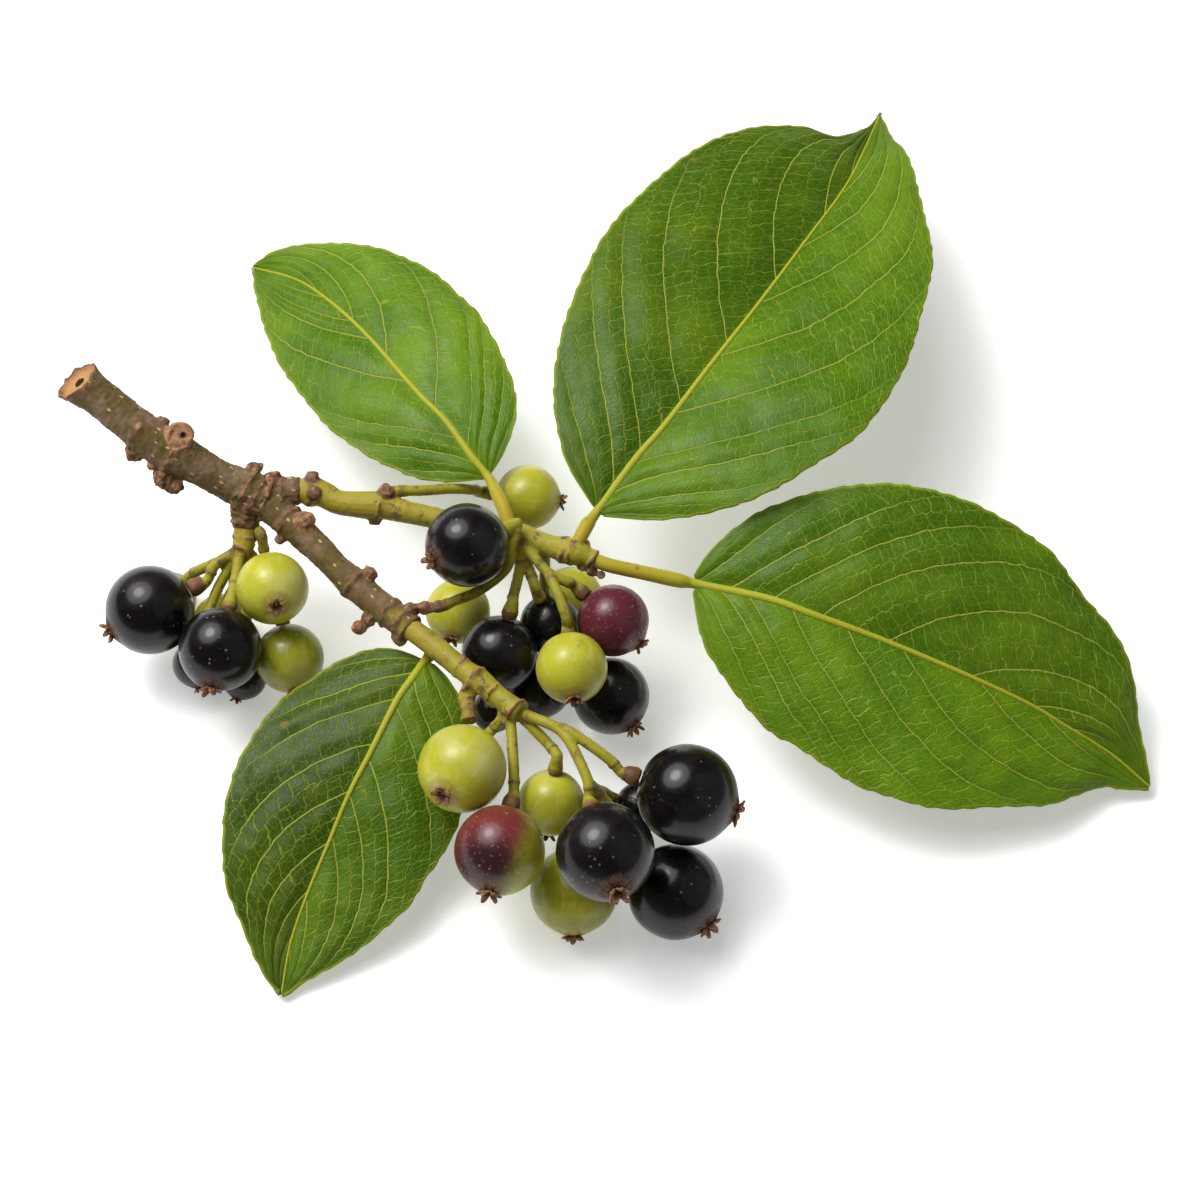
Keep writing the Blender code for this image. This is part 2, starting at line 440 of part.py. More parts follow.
def close_sheet(bm, top, bottom):
    """Skin two grids with triangles split alike and close the rim between them."""
    last_row, last_column = len(top) - 1, len(top[0]) - 1
    for row in range(last_row):
        for column in range(last_column):
            for grid, order in ((top, 1), (bottom, -1)):
                a, b = grid[row][column], grid[row][column + 1]
                c, d = grid[row + 1][column + 1], grid[row + 1][column]
                bm.faces.new((a, b, c)[::order])
                bm.faces.new((a, c, d)[::order])
    rim = ([(row, 0) for row in range(last_row)]
           + [(last_row, column) for column in range(last_column)]
           + [(row, last_column) for row in range(last_row, 0, -1)]
           + [(0, column) for column in range(last_column, 0, -1)])
    for (row, column), (next_row, next_column) in zip(rim, rim[1:] + rim[:1]):
        bm.faces.new((top[row][column], bottom[row][column], bottom[next_row][next_column]))
        bm.faces.new((top[row][column], bottom[next_row][next_column], top[next_row][next_column]))
    bmesh.ops.recalc_face_normals(bm, faces=bm.faces)


def make_twig():
    """The woody stem with its slanted cut, the branch that leaves it, and their buds and scars."""
    shapes = [tube(MAIN_STEM, 12, 1.3, cut=CUT_FACE), tube(LOWER_BRANCH, 10, 1.5),
              tube(LEFT_COLLAR, 8, 0.8), tube(SHOOT_COLLAR, 8, 1.3)]
    shapes += [ball(*knob) for knob in BARK_KNOBS]
    return fuse("twig", shapes, BARK)


def make_green_stems():
    """The green shoot, the green end of the branch and the left spur, each with its stalks."""
    shoot = [tube(SIDE_SHOOT, 8, 1.6), tube(MIDDLE_SPUR, 6, 1.0)]
    fuse("side_shoot", shoot + [ball(*knob) for knob in SHOOT_KNOBS]
         + [stalk_tube(stalk) for stalk in SHOOT_STALKS], GREEN_WOOD)
    fuse("branch_tip", [tube(GREEN_TIP, 8, 1.6), tube(BARE_SPUR, 6, 1.0)]
         + [stalk_tube(stalk) for stalk in TIP_STALKS], GREEN_WOOD)
    fuse("stalks_left", [tube(LEFT_SPUR, 8, 0.7)] + [stalk_tube(stalk) for stalk in LEFT_STALKS],
         GREEN_WOOD)
    fuse("stalk_left_green", [stalk_tube(stalk) for stalk in LEFT_GREEN_STALK], GREEN_WOOD)
    fuse("stalk_upper", [stalk_tube(stalk) for stalk in UPPER_STALK], GREEN_WOOD)


def main():
    """Clear the scene and build every piece of the sprig."""
    for old in list(bpy.data.objects):
        bpy.data.objects.remove(old)
    make_twig()
    make_green_stems()
    for name, leaf in LEAVES.items():
        make_leaf(name, leaf)
    for name, berry in BERRIES.items():
        make_berry(name, berry)


main()
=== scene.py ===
"""Looks of the cut buckthorn sprig: bark, green shoots and stalks, veined leaves and glossy fruit.

The tables are in millimetres on the surface that the sprig lies on, with z = 0 on that surface.
Each piece is modelled in millimetres and put in its place in metres when it is finished.
"""
import math
import random
from collections import namedtuple

import bpy
from bpy.props import FloatProperty, FloatVectorProperty, IntProperty, PointerProperty
from mathutils import Matrix, Vector, kdtree, noise


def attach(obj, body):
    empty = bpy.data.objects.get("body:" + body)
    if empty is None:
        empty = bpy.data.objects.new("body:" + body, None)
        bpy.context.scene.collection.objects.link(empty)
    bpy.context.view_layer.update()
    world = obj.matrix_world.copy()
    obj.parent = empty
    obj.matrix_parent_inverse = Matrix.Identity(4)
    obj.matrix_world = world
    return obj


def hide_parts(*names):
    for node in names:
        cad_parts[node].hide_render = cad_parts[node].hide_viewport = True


bl_info = {
    "name": "Buckthorn Sprig",
    "version": (1, 0, 0),
    "blender": (4, 5, 0),
    "location": "View3D > Sidebar > Sprig",
    "description": "Dresses a cut buckthorn sprig with bark, leaves, stalks and fruit",
    "category": "Object",
}

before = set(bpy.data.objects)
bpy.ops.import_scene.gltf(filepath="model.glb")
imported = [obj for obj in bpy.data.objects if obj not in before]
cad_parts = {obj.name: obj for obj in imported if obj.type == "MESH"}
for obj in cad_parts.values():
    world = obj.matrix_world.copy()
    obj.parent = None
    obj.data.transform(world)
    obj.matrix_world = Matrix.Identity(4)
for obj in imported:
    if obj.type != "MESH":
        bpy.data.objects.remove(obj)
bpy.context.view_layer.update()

MM = 0.001
MIDDLE = Vector((0.6, 9.9, 0.0))      # the part's origin in the tables

# the stalk leaves a berry opposite its calyx, unless a last value says which way
Berry = namedtuple("Berry", "centre radius calyx skin stalk", defaults=(None,))
BERRIES = {
    "berry_left_1": Berry((-45.1, -0.4, 8.6), 4.47, (-0.89, -0.45, -0.14), "black"),
    "berry_left_2": Berry((-37.7, -5.8, 10.5), 4.17, (-0.17, -0.98, -0.11), "black"),
    "berry_left_3": Berry((-32.6, 0.1, 12.3), 3.63, (0.18, -0.82, 0.54), "green", (-0.18, 0.82, -0.4)),
    "berry_left_4": Berry((-31.1, -4.8, 6.6), 3.46, (0.2, -0.98, -0.08), "olive"),
    "berry_left_5": Berry((-40.7, -4.0, 3.8), 2.42, (0.12, -0.93, -0.38), "black", (0.15, 0.5, 0.85)),
    "berry_left_6": Berry((-36.0, -4.7, 2.26), 2.33, (-0.3, -0.84, -0.3), "black", (0.1, 0.4, 0.9)),
    "berry_left_7": Berry((-38.4, 1.2, 2.86), 2.95, (-0.5, 0.75, -0.35), "olive", (0.3, 0.4, 0.87)),
    "berry_left_8": Berry((-43.8, 4.2, 2.57), 2.65, (-0.6, 0.7, -0.3), "olive", (0.5, 0.1, 0.86)),
    "berry_middle_1": Berry((-13.1, 1.7, 18.3), 4.13, (-0.81, -0.53, 0.24), "black"),
    "berry_middle_2": Berry((-7.3, 11.5, 10.5), 3.29, (0.99, -0.1, -0.05), "fresh"),
    "berry_middle_3": Berry((-14.3, 0.4, 6.8), 3.26, (-0.18, -0.98, 0.08), "green"),
    "berry_middle_4": Berry((-10.0, -6.2, 10.4), 3.78, (-0.25, -0.69, -0.67), "black"),
    "berry_middle_5": Berry((-5.0, -1.8, 8.2), 3.05, (0.3, -0.4, -0.87), "black"),
    "berry_middle_6": Berry((1.3, -3.0, 11.3), 3.58, (0.74, -0.64, -0.23), "purple"),
    "berry_middle_7": Berry((-2.8, -9.0, 12.7), 3.54, (0.08, -0.99, 0.13), "green"),
    "berry_middle_8": Berry((1.1, -8.7, 5.9), 3.85, (0.57, -0.81, -0.14), "black"),
    "berry_middle_9": Berry((-2.9, 4.0, 3.06), 3.16, (0.55, 0.65, -0.45), "green", (-0.5, -0.6, 0.62)),
    "berry_middle_10": Berry((-6.2, -6.2, 3.28), 3.38, (-0.6, 0.6, -0.45), "black", (0.0, 0.6, 0.8)),
    "berry_middle_11": Berry((-10.6, -10.0, 5.2), 2.20, (-0.3, 0.4, -0.85), "black", (0.0, -0.1, 1.0)),
    "berry_front_1": Berry((-13.4, -20.1, 12.9), 4.31, (-0.41, -0.82, 0.39), "green"),
    "berry_front_2": Berry((-9.7, -27.9, 10.9), 4.40, (-0.21, -0.98, -0.03), "turning"),
    "berry_front_3": Berry((-4.8, -21.3, 7.7), 3.27, (-0.12, -0.66, -0.74), "fresh", (0.12, 0.6, 0.79)),
    "berry_front_4": Berry((0.5, -29.5, 14.0), 4.79, (0.24, -0.95, 0.21), "black"),
    "berry_front_5": Berry((8.5, -22.3, 11.6), 4.96, (0.94, -0.31, -0.11), "black"),
    "berry_front_6": Berry((7.4, -29.45, 4.55), 4.70, (0.68, -0.73, -0.1), "black"),
    "berry_front_7": Berry((-2.55, -29.2, 4.18), 4.31, (0.0, -0.9, -0.42), "olive", (0.25, 0.83, 0.5)),
    "berry_front_8": Berry((4.0, -20.5, 4.9), 2.57, (0.93, -0.17, -0.32), "black"),
}

# middle lines of the stems with the radius at each point
MAIN_STEM = ((-52.2, 19.2, 20.6, 2.45), (-51.2, 18.5, 20.2, 2.1), (-49.5, 17.4, 19.5, 1.95),
             (-46.0, 14.9, 18.2, 2.0), (-43.9, 13.6, 17.3, 2.05), (-42.2, 12.9, 16.6, 2.2),
             (-40.3, 12.1, 15.9, 1.9), (-38.0, 11.1, 15.0, 1.85), (-35.6, 10.3, 14.2, 2.05),
             (-33.7, 9.4, 13.7, 2.15))
# the slanted cut at the twig's end: its place, the way it faces, its radius and the long way of its pith
Cut = namedtuple("Cut", "place way radius pith")
CUT_FACE = Vector((-0.62, 0.37, 0.69)).normalized()
TWIG_CUT = Cut(Vector(MAIN_STEM[0][:3]), CUT_FACE, 2.5, CUT_FACE.cross((0.0, -0.47, 0.88)).normalized())
LOWER_BRANCH = ((-34.6, 9.9, 13.9, 1.6), (-33.0, 8.8, 13.6, 1.75), (-31.5, 7.4, 13.4, 1.65),
                (-28.5, 4.6, 13.0, 1.5), (-26.2, 2.1, 12.8, 1.4), (-24.4, 0.4, 12.6, 1.6),
                (-22.6, -1.3, 12.5, 1.45), (-20.6, -3.0, 12.5, 1.5), (-18.75, -4.6, 12.5, 1.4))
SHOOT_COLLAR = ((-32.8, 9.8, 13.9, 1.5), (-31.4, 10.2, 14.0, 1.45), (-30.0, 10.25, 14.0, 1.35))
LEFT_COLLAR = ((-35.3, 9.2, 13.2, 1.5), (-35.5, 8.2, 12.5, 1.5), (-35.55, 7.2, 11.9, 1.35))
GREEN_TIP = ((-18.9, -4.5, 12.6, 1.1), (-16.8, -6.2, 12.7, 1.15), (-13.8, -9.0, 12.9, 1.1),
             (-11.7, -10.75, 13.1, 1.25), (-10.5, -11.8, 13.1, 1.05), (-9.3, -12.9, 13.1, 1.05),
             (-7.7, -14.2, 13.2, 1.15))
BARE_SPUR = ((-12.1, -10.6, 12.8, 0.95), (-13.1, -11.7, 12.0, 0.85), (-12.9, -13.4, 11.9, 0.7),
             (-12.8, -14.4, 11.9, 0.8))
SIDE_SHOOT = ((-30.2, 10.25, 14.0, 1.25), (-28.9, 10.2, 14.0, 1.5), (-27.7, 9.8, 14.1, 1.35),
              (-26.0, 8.9, 14.0, 1.25), (-22.4, 8.5, 14.1, 1.45),
              (-20.8, 8.2, 14.0, 1.2), (-15.0, 6.9, 13.8, 1.05), (-11.0, 6.0, 13.9, 1.1),
              (-8.3, 5.1, 14.2, 1.3), (-5.5, 3.9, 14.5, 1.1), (-3.4, 3.1, 14.7, 1.3),
              (-2.2, 2.7, 14.8, 1.25), (-1.2, 2.3, 14.8, 0.98), (-0.5, 2.0, 14.8, 0.92))
MIDDLE_SPUR = ((-8.4, 4.9, 14.0, 1.0), (-7.9, 3.5, 13.6, 1.0), (-7.6, 2.6, 13.3, 0.9))
LEFT_SPUR = ((-35.5, 7.7, 12.15, 1.1), (-35.6, 6.8, 11.7, 1.2), (-35.8, 5.6, 11.2, 1.1),
             (-36.1, 5.0, 10.9, 0.9))
# points and radii of a stem, how far it is bark at its start and at its end, and its cup's length
Run = namedtuple("Run", "points bark cup", defaults=(0.0,))

# centre and radius of the buds, scars and spur knobs, and how craggy each is
BARK_KNOBS = ((-41.9, 14.0, 18.4, 1.5, 0.2), (-43.7, 10.9, 15.4, 1.15, 0.8), (-42.7, 10.3, 14.9, 1.0, 0.8),
              (-46.6, 13.0, 16.7, 0.95, 0.8), (-43.7, 15.7, 18.2, 0.7, 0.6), (-34.8, 12.2, 14.9, 0.8, 0.8),
              (-32.7, 10.8, 14.7, 1.0, 1.0), (-29.4, 6.5, 14.5, 1.08, 0.32), (-32.0, 5.5, 12.6, 0.6, 0.6),
              (-22.8, 1.0, 13.6, 0.75, 0.5), (-22.9, -3.2, 11.9, 0.8, 0.6), (-23.9, -3.9, 11.4, 0.8, 0.4),
              (-19.8, -5.2, 11.7, 0.85, 0.5), (-18.7, -2.7, 12.9, 0.85, 0.6), (-17.4, -2.5, 13.0, 0.75, 0.6),
              (-16.8, -2.5, 13.0, 0.6, 0.6),
              (-34.6, 10.6, 15.3, 0.40, 0.1), (-33.4, 9.3, 15.3, 0.48, 0.2), (-33.9, 8.2, 14.8, 0.36, 0.1),
              (-45.9, 14.4, 19.9, 0.30, 0.3), (-44.9, 11.7, 16.5, 0.45, 0.3))
SHOOT_KNOBS = ((-28.8, 11.1, 15.0, 0.75, 0.7), (-28.5, 9.3, 15.3, 0.6, 0.6), (-21.4, 9.5, 15.0, 0.85, 0.8),
               (-22.6, 7.5, 13.2, 0.75, 0.8), (-1.7, 1.7, 14.0, 0.62, 0.6), (-0.8, 1.15, 13.8, 0.58, 0.5),
               (0.1, 0.8, 13.7, 0.46, 0.5), (-1.4, 3.6, 15.0, 0.5, 0.5))
UPPER_KNOBS = ((-16.1, -2.55, 13.2, 0.66, 0.5),)
# the big leaf scar on the twig: middle, way it faces, radius
LEAF_SCAR = (Vector((-41.9, 14.0, 18.4)), Vector((0.12, -0.42, 0.90)).normalized(), 1.45)

# rings on the stems: a place, the stem's direction there, half width, height, how far they reach
Ring = namedtuple("Ring", "centre way half height span")
TWIG_RINGS = (
    ((-46.7, 14.2, 17.6), (0.75, -0.55, -0.35), 0.30, 0.16, 2.6),
    ((-42.9, 12.6, 16.6), (0.80, -0.40, -0.35), 0.40, 0.24, 3.0),
    ((-35.4, 10.4, 14.4), (0.85, -0.40, -0.25), 0.32, 0.28, 2.9),
    ((-34.3, 9.8, 14.0), (0.85, -0.40, -0.2), 0.28, 0.22, 2.9),
    ((-33.2, 9.7, 14.0), (0.85, -0.30, -0.1), 0.28, 0.24, 2.6),
    ((-35.2, 9.5, 13.6), (-0.2, -0.85, -0.4), 0.30, 0.26, 2.4),
    ((-35.3, 8.8, 13.0), (-0.1, -0.85, -0.5), 0.26, 0.26, 2.3),
    ((-35.4, 8.2, 12.6), (-0.1, -0.85, -0.5), 0.22, 0.22, 2.2),
    ((-35.5, 7.6, 12.2), (-0.1, -0.85, -0.5), 0.24, 0.22, 2.0),
    ((-31.8, 10.1, 14.0), (1.0, -0.05, 0.0), 0.26, 0.22, 2.0),
    ((-31.2, 7.1, 13.4), (0.72, -0.68, -0.1), 0.30, 0.20, 2.3),
    ((-30.6, 10.25, 14.0), (1.0, 0.05, 0.0), 0.28, 0.20, 1.9),
    ((-24.4, 0.4, 12.6), (0.70, -0.70, -0.1), 0.30, 0.24, 2.2),
    ((-20.9, -2.8, 12.5), (0.72, -0.68, 0.0), 0.26, 0.20, 2.1),
    ((-19.6, -3.9, 12.5), (0.72, -0.68, 0.0), 0.26, 0.22, 2.1),
    ((-18.8, -4.55, 12.5), (0.72, -0.68, 0.0), 0.24, 0.16, 2.0),
)
SHOOT_RINGS = (
    ((-28.8, 10.1, 14.0), (0.95, -0.2, 0.0), 0.42, 0.18, 2.1),
    ((-21.9, 8.4, 14.1), (0.97, -0.2, 0.0), 0.22, 0.12, 1.8),
    ((-8.3, 5.1, 14.2), (0.9, -0.35, 0.0), 0.22, 0.10, 1.6),
    ((-3.6, 3.2, 14.7), (0.9, -0.35, 0.0), 0.36, 0.20, 1.8),
    ((-2.7, 2.85, 14.8), (0.9, -0.35, 0.0), 0.30, 0.18, 1.9),
    ((-0.6, 2.0, 14.8), (0.87, -0.45, 0.0), 0.22, 0.18, 1.5),
)
TIP_RINGS = (
    ((-13.7, -9.1, 12.9), (0.75, -0.66, 0.0), 0.28, 0.13, 1.6),
    ((-12.1, -10.4, 13.1), (0.75, -0.66, 0.0), 0.30, 0.30, 1.9),
    ((-10.4, -11.9, 13.1), (0.72, -0.69, 0.0), 0.20, 0.14, 1.6),
    ((-8.2, -13.8, 13.2), (0.72, -0.69, 0.0), 0.30, 0.28, 1.8),
    ((-12.95, -12.3, 12.0), (0.05, -0.99, 0.0), 0.26, 0.20, 1.2),
    ((-12.9, -13.2, 11.9), (0.05, -0.99, 0.0), 0.26, 0.22, 1.2),
    ((-12.8, -14.2, 11.9), (0.05, -0.99, 0.0), 0.26, 0.18, 1.3),
)
LEFT_RINGS = (
    ((-35.7, 6.2, 11.4), (-0.1, -0.9, -0.4), 0.20, 0.12, 1.5),
    ((-36.0, 5.1, 10.9), (-0.3, -0.9, -0.3), 0.20, 0.12, 1.4),
)

# a stalk's berry and the points it passes; its last stretch runs straight at the berry
LEFT_STALKS = {
    "berry_left_1": ((-36.0, 5.2, 11.0), (-38.5, 3.9, 10.4)),
    "berry_left_2": ((-36.1, 5.1, 11.0), (-36.4, 2.4, 11.0)),
    "berry_left_4": ((-35.8, 5.5, 11.0), (-34.6, 4.6, 9.6), (-33.0, 2.0, 7.9)),
    "berry_left_5": ((-36.2, 5.1, 10.9), (-38.2, 2.4, 8.8), (-39.5, -0.4, 7.5)),
    "berry_left_6": ((-35.9, 5.2, 10.9), (-35.6, 2.2, 8.2), (-35.6, -1.6, 6.2)),
    "berry_left_7": ((-36.2, 5.2, 10.8), (-36.9, 3.9, 7.9)),
    "berry_left_8": ((-38.2, 4.1, 10.4), (-40.3, 4.4, 8.3)),
}
LEFT_GREEN_STALK = {"berry_left_3": ((-34.3, 6.9, 12.2), (-33.9, 6.0, 12.1))}
SHOOT_STALKS = {
    "berry_middle_2": ((-20.7, 9.7, 15.0), (-18.0, 10.0, 14.5), (-14.9, 10.8, 13.5),
                       (-12.6, 11.4, 12.2)),
    "berry_middle_3": ((-14.9, 6.6, 13.3), (-14.5, 6.4, 11.3), (-13.9, 5.4, 8.4)),
    "berry_middle_4": ((-7.8, 3.2, 13.5), (-8.0, 1.8, 13.1), (-8.6, -1.6, 13.5)),
    "berry_middle_5": ((-7.6, 2.8, 13.3), (-7.0, 1.8, 12.7)),
    "berry_middle_6": ((-8.2, 4.4, 14.3), (-6.9, 2.9, 14.4), (-5.1, 0.8, 14.2), (-3.2, 0.1, 13.6)),
    "berry_middle_7": ((-5.1, 0.8, 14.2), (-4.1, -1.8, 14.4), (-3.3, -3.9, 13.6)),
    "berry_middle_8": ((-4.1, -1.6, 14.3), (-3.4, -2.6, 12.4), (-2.5, -4.2, 9.7)),
    "berry_middle_9": ((-5.6, 3.9, 14.0), (-5.5, 3.5, 11.5), (-5.6, 2.5, 8.0)),
}
TIP_STALKS = {
    "berry_middle_11": ((-11.4, -11.1, 12.6), (-10.9, -11.4, 10.6)),
    "berry_front_1": ((-9.3, -13.3, 12.7), (-9.7, -14.4, 12.0)),
    "berry_front_2": ((-8.9, -13.4, 12.6), (-8.7, -15.4, 12.3), (-8.4, -19.5, 11.9)),
    "berry_front_3": ((-7.9, -14.0, 12.6), (-5.0, -16.9, 11.6)),
    "berry_front_4": ((-7.8, -14.1, 13.0), (-4.4, -15.9, 13.6), (-2.9, -17.8, 13.9),
                      (-1.2, -21.6, 13.4)),
    "berry_front_5": ((-4.4, -15.9, 13.6), (-2.5, -16.9, 13.9), (0.9, -19.2, 13.1)),
    "berry_front_6": ((-0.6, -21.6, 11.6), (1.2, -22.8, 9.3), (2.6, -24.6, 7.4)),
    "berry_front_7": ((-0.7, -21.6, 11.3), (-0.9, -23.1, 9.3)),
    "berry_front_8": ((-1.1, -21.9, 13.2), (-0.4, -21.5, 11.3), (0.3, -21.0, 9.6),
                      (0.9, -20.4, 7.2)),
}
UPPER_STALK = {"berry_middle_1": ((-16.2, -2.6, 13.2), (-14.5, -1.9, 13.3), (-11.9, -0.6, 13.3),
                                  (-9.3, 1.1, 14.6), (-8.8, 2.8, 15.9))}

# how far the brown of a cup runs up its stalk, where it differs from the usual
CUPS = {"berry_front_5": 2.3, "berry_left_1": 1.9, "berry_front_2": 1.6, "berry_front_4": 1.4,
        "berry_middle_4": 1.3, "berry_middle_6": 1.3, "berry_middle_5": 0.6, "berry_middle_1": 0.5}

# leaves: petiole, three rails of the blade, where the side veins leave the midrib, and how light each half is
# painted: a factor per half that paints the lamp's sheen on one half and shade on the other
Leaf = namedtuple("Leaf", "petiole midrib left right veins_left veins_right tones")
LEAVES = {
    "leaf_upper_right": Leaf(
        petiole=((-2.6, 3.0, 15.2), (-1.9, 4.2, 15.7), (-1.2, 5.6, 15.8)),
        midrib=((-0.3, 7.1, 15.6), (3.5, 12.2, 17.0), (6.6, 16.0, 17.6), (11.2, 22.8, 17.8),
                (16.0, 30.3, 16.9), (21.6, 39.9, 15.0), (26.1, 48.4, 12.6), (29.9, 58.9, 9.5)),
        left=((-0.8, 7.7, 15.6), (-3.4, 12.2, 16.8), (-4.6, 18.6, 17.8), (-4.0, 25.2, 18.6),
              (-1.9, 32.2, 18.8), (1.7, 39.9, 18.2), (8.4, 48.3, 16.6), (15.1, 53.3, 14.8),
              (21.1, 54.7, 13.2), (24.9, 54.3, 12.0), (28.3, 56.7, 10.4), (29.8, 58.9, 9.5)),
        right=((0.4, 6.4, 15.6), (5.5, 5.6, 16.4), (10.9, 5.9, 17.6), (16.3, 7.3, 18.8),
               (21.7, 10.6, 19.6), (26.0, 13.9, 19.8), (30.4, 21.4, 19.0), (32.7, 29.2, 17.8),
               (34.1, 35.9, 16.4), (33.7, 41.9, 15.0), (32.5, 51.0, 12.6), (30.9, 54.9, 11.0),
               (30.0, 58.8, 9.5)),
        veins_left=(0.04, 0.12, 0.23, 0.37, 0.53, 0.71, 0.82, 0.92),
        veins_right=(0.03, 0.095, 0.21, 0.34, 0.475, 0.62, 0.77, 0.89),
        tones=(0.84, 1.20)),
    "leaf_right": Leaf(
        petiole=((-1.2, 2.3, 14.8), (-0.3, 1.9, 14.85), (1.1, 1.4, 14.8), (4.4, 0.8, 14.4), (7.9, 0.2, 13.9)),
        midrib=((9.6, 0.0, 13.6), (16.6, -2.0, 14.2), (21.1, -3.7, 14.0), (27.7, -5.7, 12.6),
                (35.7, -8.3, 10.4), (42.4, -10.4, 7.8), (46.4, -12.1, 6.0), (51.0, -14.0, 3.6),
                (54.9, -16.6, 1.5)),
        left=((9.3, 0.8, 13.7), (11.0, 3.0, 14.8), (14.0, 5.5, 15.6), (17.3, 7.2, 16.2),
              (23.4, 9.0, 16.6), (30.4, 9.6, 16.2), (37.5, 8.2, 14.8), (44.5, 4.7, 12.4),
              (48.0, 0.7, 10.4), (51.5, -2.9, 8.2), (53.2, -6.6, 6.4), (53.9, -11.3, 4.0),
              (54.7, -14.6, 2.4), (55.0, -16.5, 1.5)),
        right=((9.2, -1.1, 13.4), (9.9, -5.0, 12.6), (11.6, -8.3, 11.6), (16.2, -13.9, 9.8),
               (19.7, -16.0, 9.0), (24.8, -19.1, 7.8), (30.0, -20.8, 6.9), (34.1, -21.3, 6.2),
               (40.5, -20.5, 5.2), (44.1, -19.9, 4.2), (47.7, -18.2, 3.2), (50.1, -17.0, 2.4),
               (52.7, -17.0, 1.6), (54.8, -16.8, 1.4)),
        veins_left=(0.06, 0.15, 0.25, 0.39, 0.57, 0.71, 0.80, 0.88),
        veins_right=(0.04, 0.10, 0.19, 0.305, 0.425, 0.59, 0.74, 0.85),
        tones=(1.00, 1.26)),
    "leaf_lower_left": Leaf(
        petiole=((-16.5, -5.7, 10.9), (-16.8, -6.3, 10.5)),
        midrib=((-17.3, -7.0, 10.6), (-18.6, -9.2, 10.8), (-20.1, -11.5, 10.4), (-22.6, -16.6, 9.2),
                (-24.6, -20.4, 8.0), (-26.7, -25.1, 6.0), (-28.7, -29.5, 3.9), (-30.3, -33.9, 2.1),
                (-31.1, -38.7, 0.8)),
        left=((-18.1, -6.6, 10.4), (-21.0, -5.6, 10.2), (-24.6, -5.9, 9.4), (-28.8, -8.3, 8.6),
              (-31.9, -10.8, 8.2), (-35.3, -16.0, 7.4), (-36.8, -20.9, 6.4), (-37.0, -24.8, 5.4),
              (-36.6, -28.6, 4.2), (-34.8, -32.7, 2.7), (-33.8, -35.1, 2.0), (-32.4, -37.4, 1.3),
              (-31.2, -38.7, 0.8)),
        right=((-16.4, -7.5, 10.5), (-14.8, -9.4, 10.4), (-13.7, -11.6, 9.6), (-13.1, -14.8, 8.4),
               (-13.2, -19.1, 7.2), (-14.1, -23.3, 6.2), (-15.5, -25.9, 5.5), (-17.2, -28.3, 4.8),
               (-18.7, -30.7, 4.1), (-21.3, -33.0, 3.3), (-24.4, -35.2, 2.4), (-28.2, -37.3, 1.4),
               (-31.0, -38.8, 0.8)),
        veins_left=(0.04, 0.135, 0.275, 0.42, 0.57, 0.71, 0.83, 0.92),
        veins_right=(0.06, 0.15, 0.32, 0.43, 0.55, 0.73, 0.86),
        tones=(0.50, 0.86)),
    "leaf_upper_left": Leaf(
        petiole=((-8.9, 5.6, 14.7), (-9.5, 7.4, 15.2), (-10.1, 9.0, 15.1)),
        midrib=((-11.2, 11.5, 14.8), (-13.0, 13.8, 15.2), (-15.6, 17.7, 15.4), (-18.4, 21.1, 15.0),
                (-24.0, 29.2, 13.2), (-28.3, 34.8, 11.0), (-31.9, 38.4, 9.2), (-36.4, 41.4, 6.6)),
        left=((-11.8, 11.2, 14.6), (-14.6, 11.2, 14.2), (-17.1, 11.8, 13.6), (-19.6, 12.7, 13.2),
              (-22.2, 14.3, 12.8), (-24.8, 16.3, 12.2), (-27.5, 18.9, 11.6), (-30.2, 22.8, 10.8),
              (-33.0, 27.7, 9.8), (-34.7, 32.4, 8.8), (-35.8, 36.7, 7.8), (-36.3, 39.4, 7.0),
              (-36.5, 41.3, 6.6)),
        right=((-10.7, 12.1, 14.9), (-9.6, 14.0, 15.3), (-8.7, 16.9, 15.7), (-8.5, 19.7, 15.9),
               (-9.6, 24.0, 15.9), (-12.3, 30.0, 15.2), (-14.9, 33.3, 14.6), (-17.6, 36.5, 13.8),
               (-22.9, 40.1, 12.2), (-28.3, 42.2, 10.2), (-33.1, 42.8, 8.2), (-35.6, 42.2, 7.0),
               (-36.4, 41.5, 6.6)),
        veins_left=(0.03, 0.12, 0.345, 0.52, 0.60, 0.73, 0.86),
        veins_right=(0.03, 0.085, 0.225, 0.445, 0.60, 0.76, 0.88),
        tones=(1.22, 1.30)),
}
LEFT_HALF = 40.0                # added to the numbers of the veins on a blade's left half

# what a stem's finish reads from each vertex; rise also carries painted light on raised relief and painted
# shade in its hollows
WOOD_MARKS = ("bark", "scar", "cup", "joint", "cut", "pith", "rise")
TUBE_STEP = 0.25                # between two rings of a stem's tube, in millimetres
ROW_STEP = 0.36                 # between two rows of a blade, in millimetres
BLADE_COLUMNS = 84
STAR_ROWS = 9
LOBE_STEPS = 12
STAR_HOLE = 0.05                # radius that the lobes start from, in radii of the berry
VIEW_WIDTH = 0.120              # what the camera takes in at the sprig, in metres


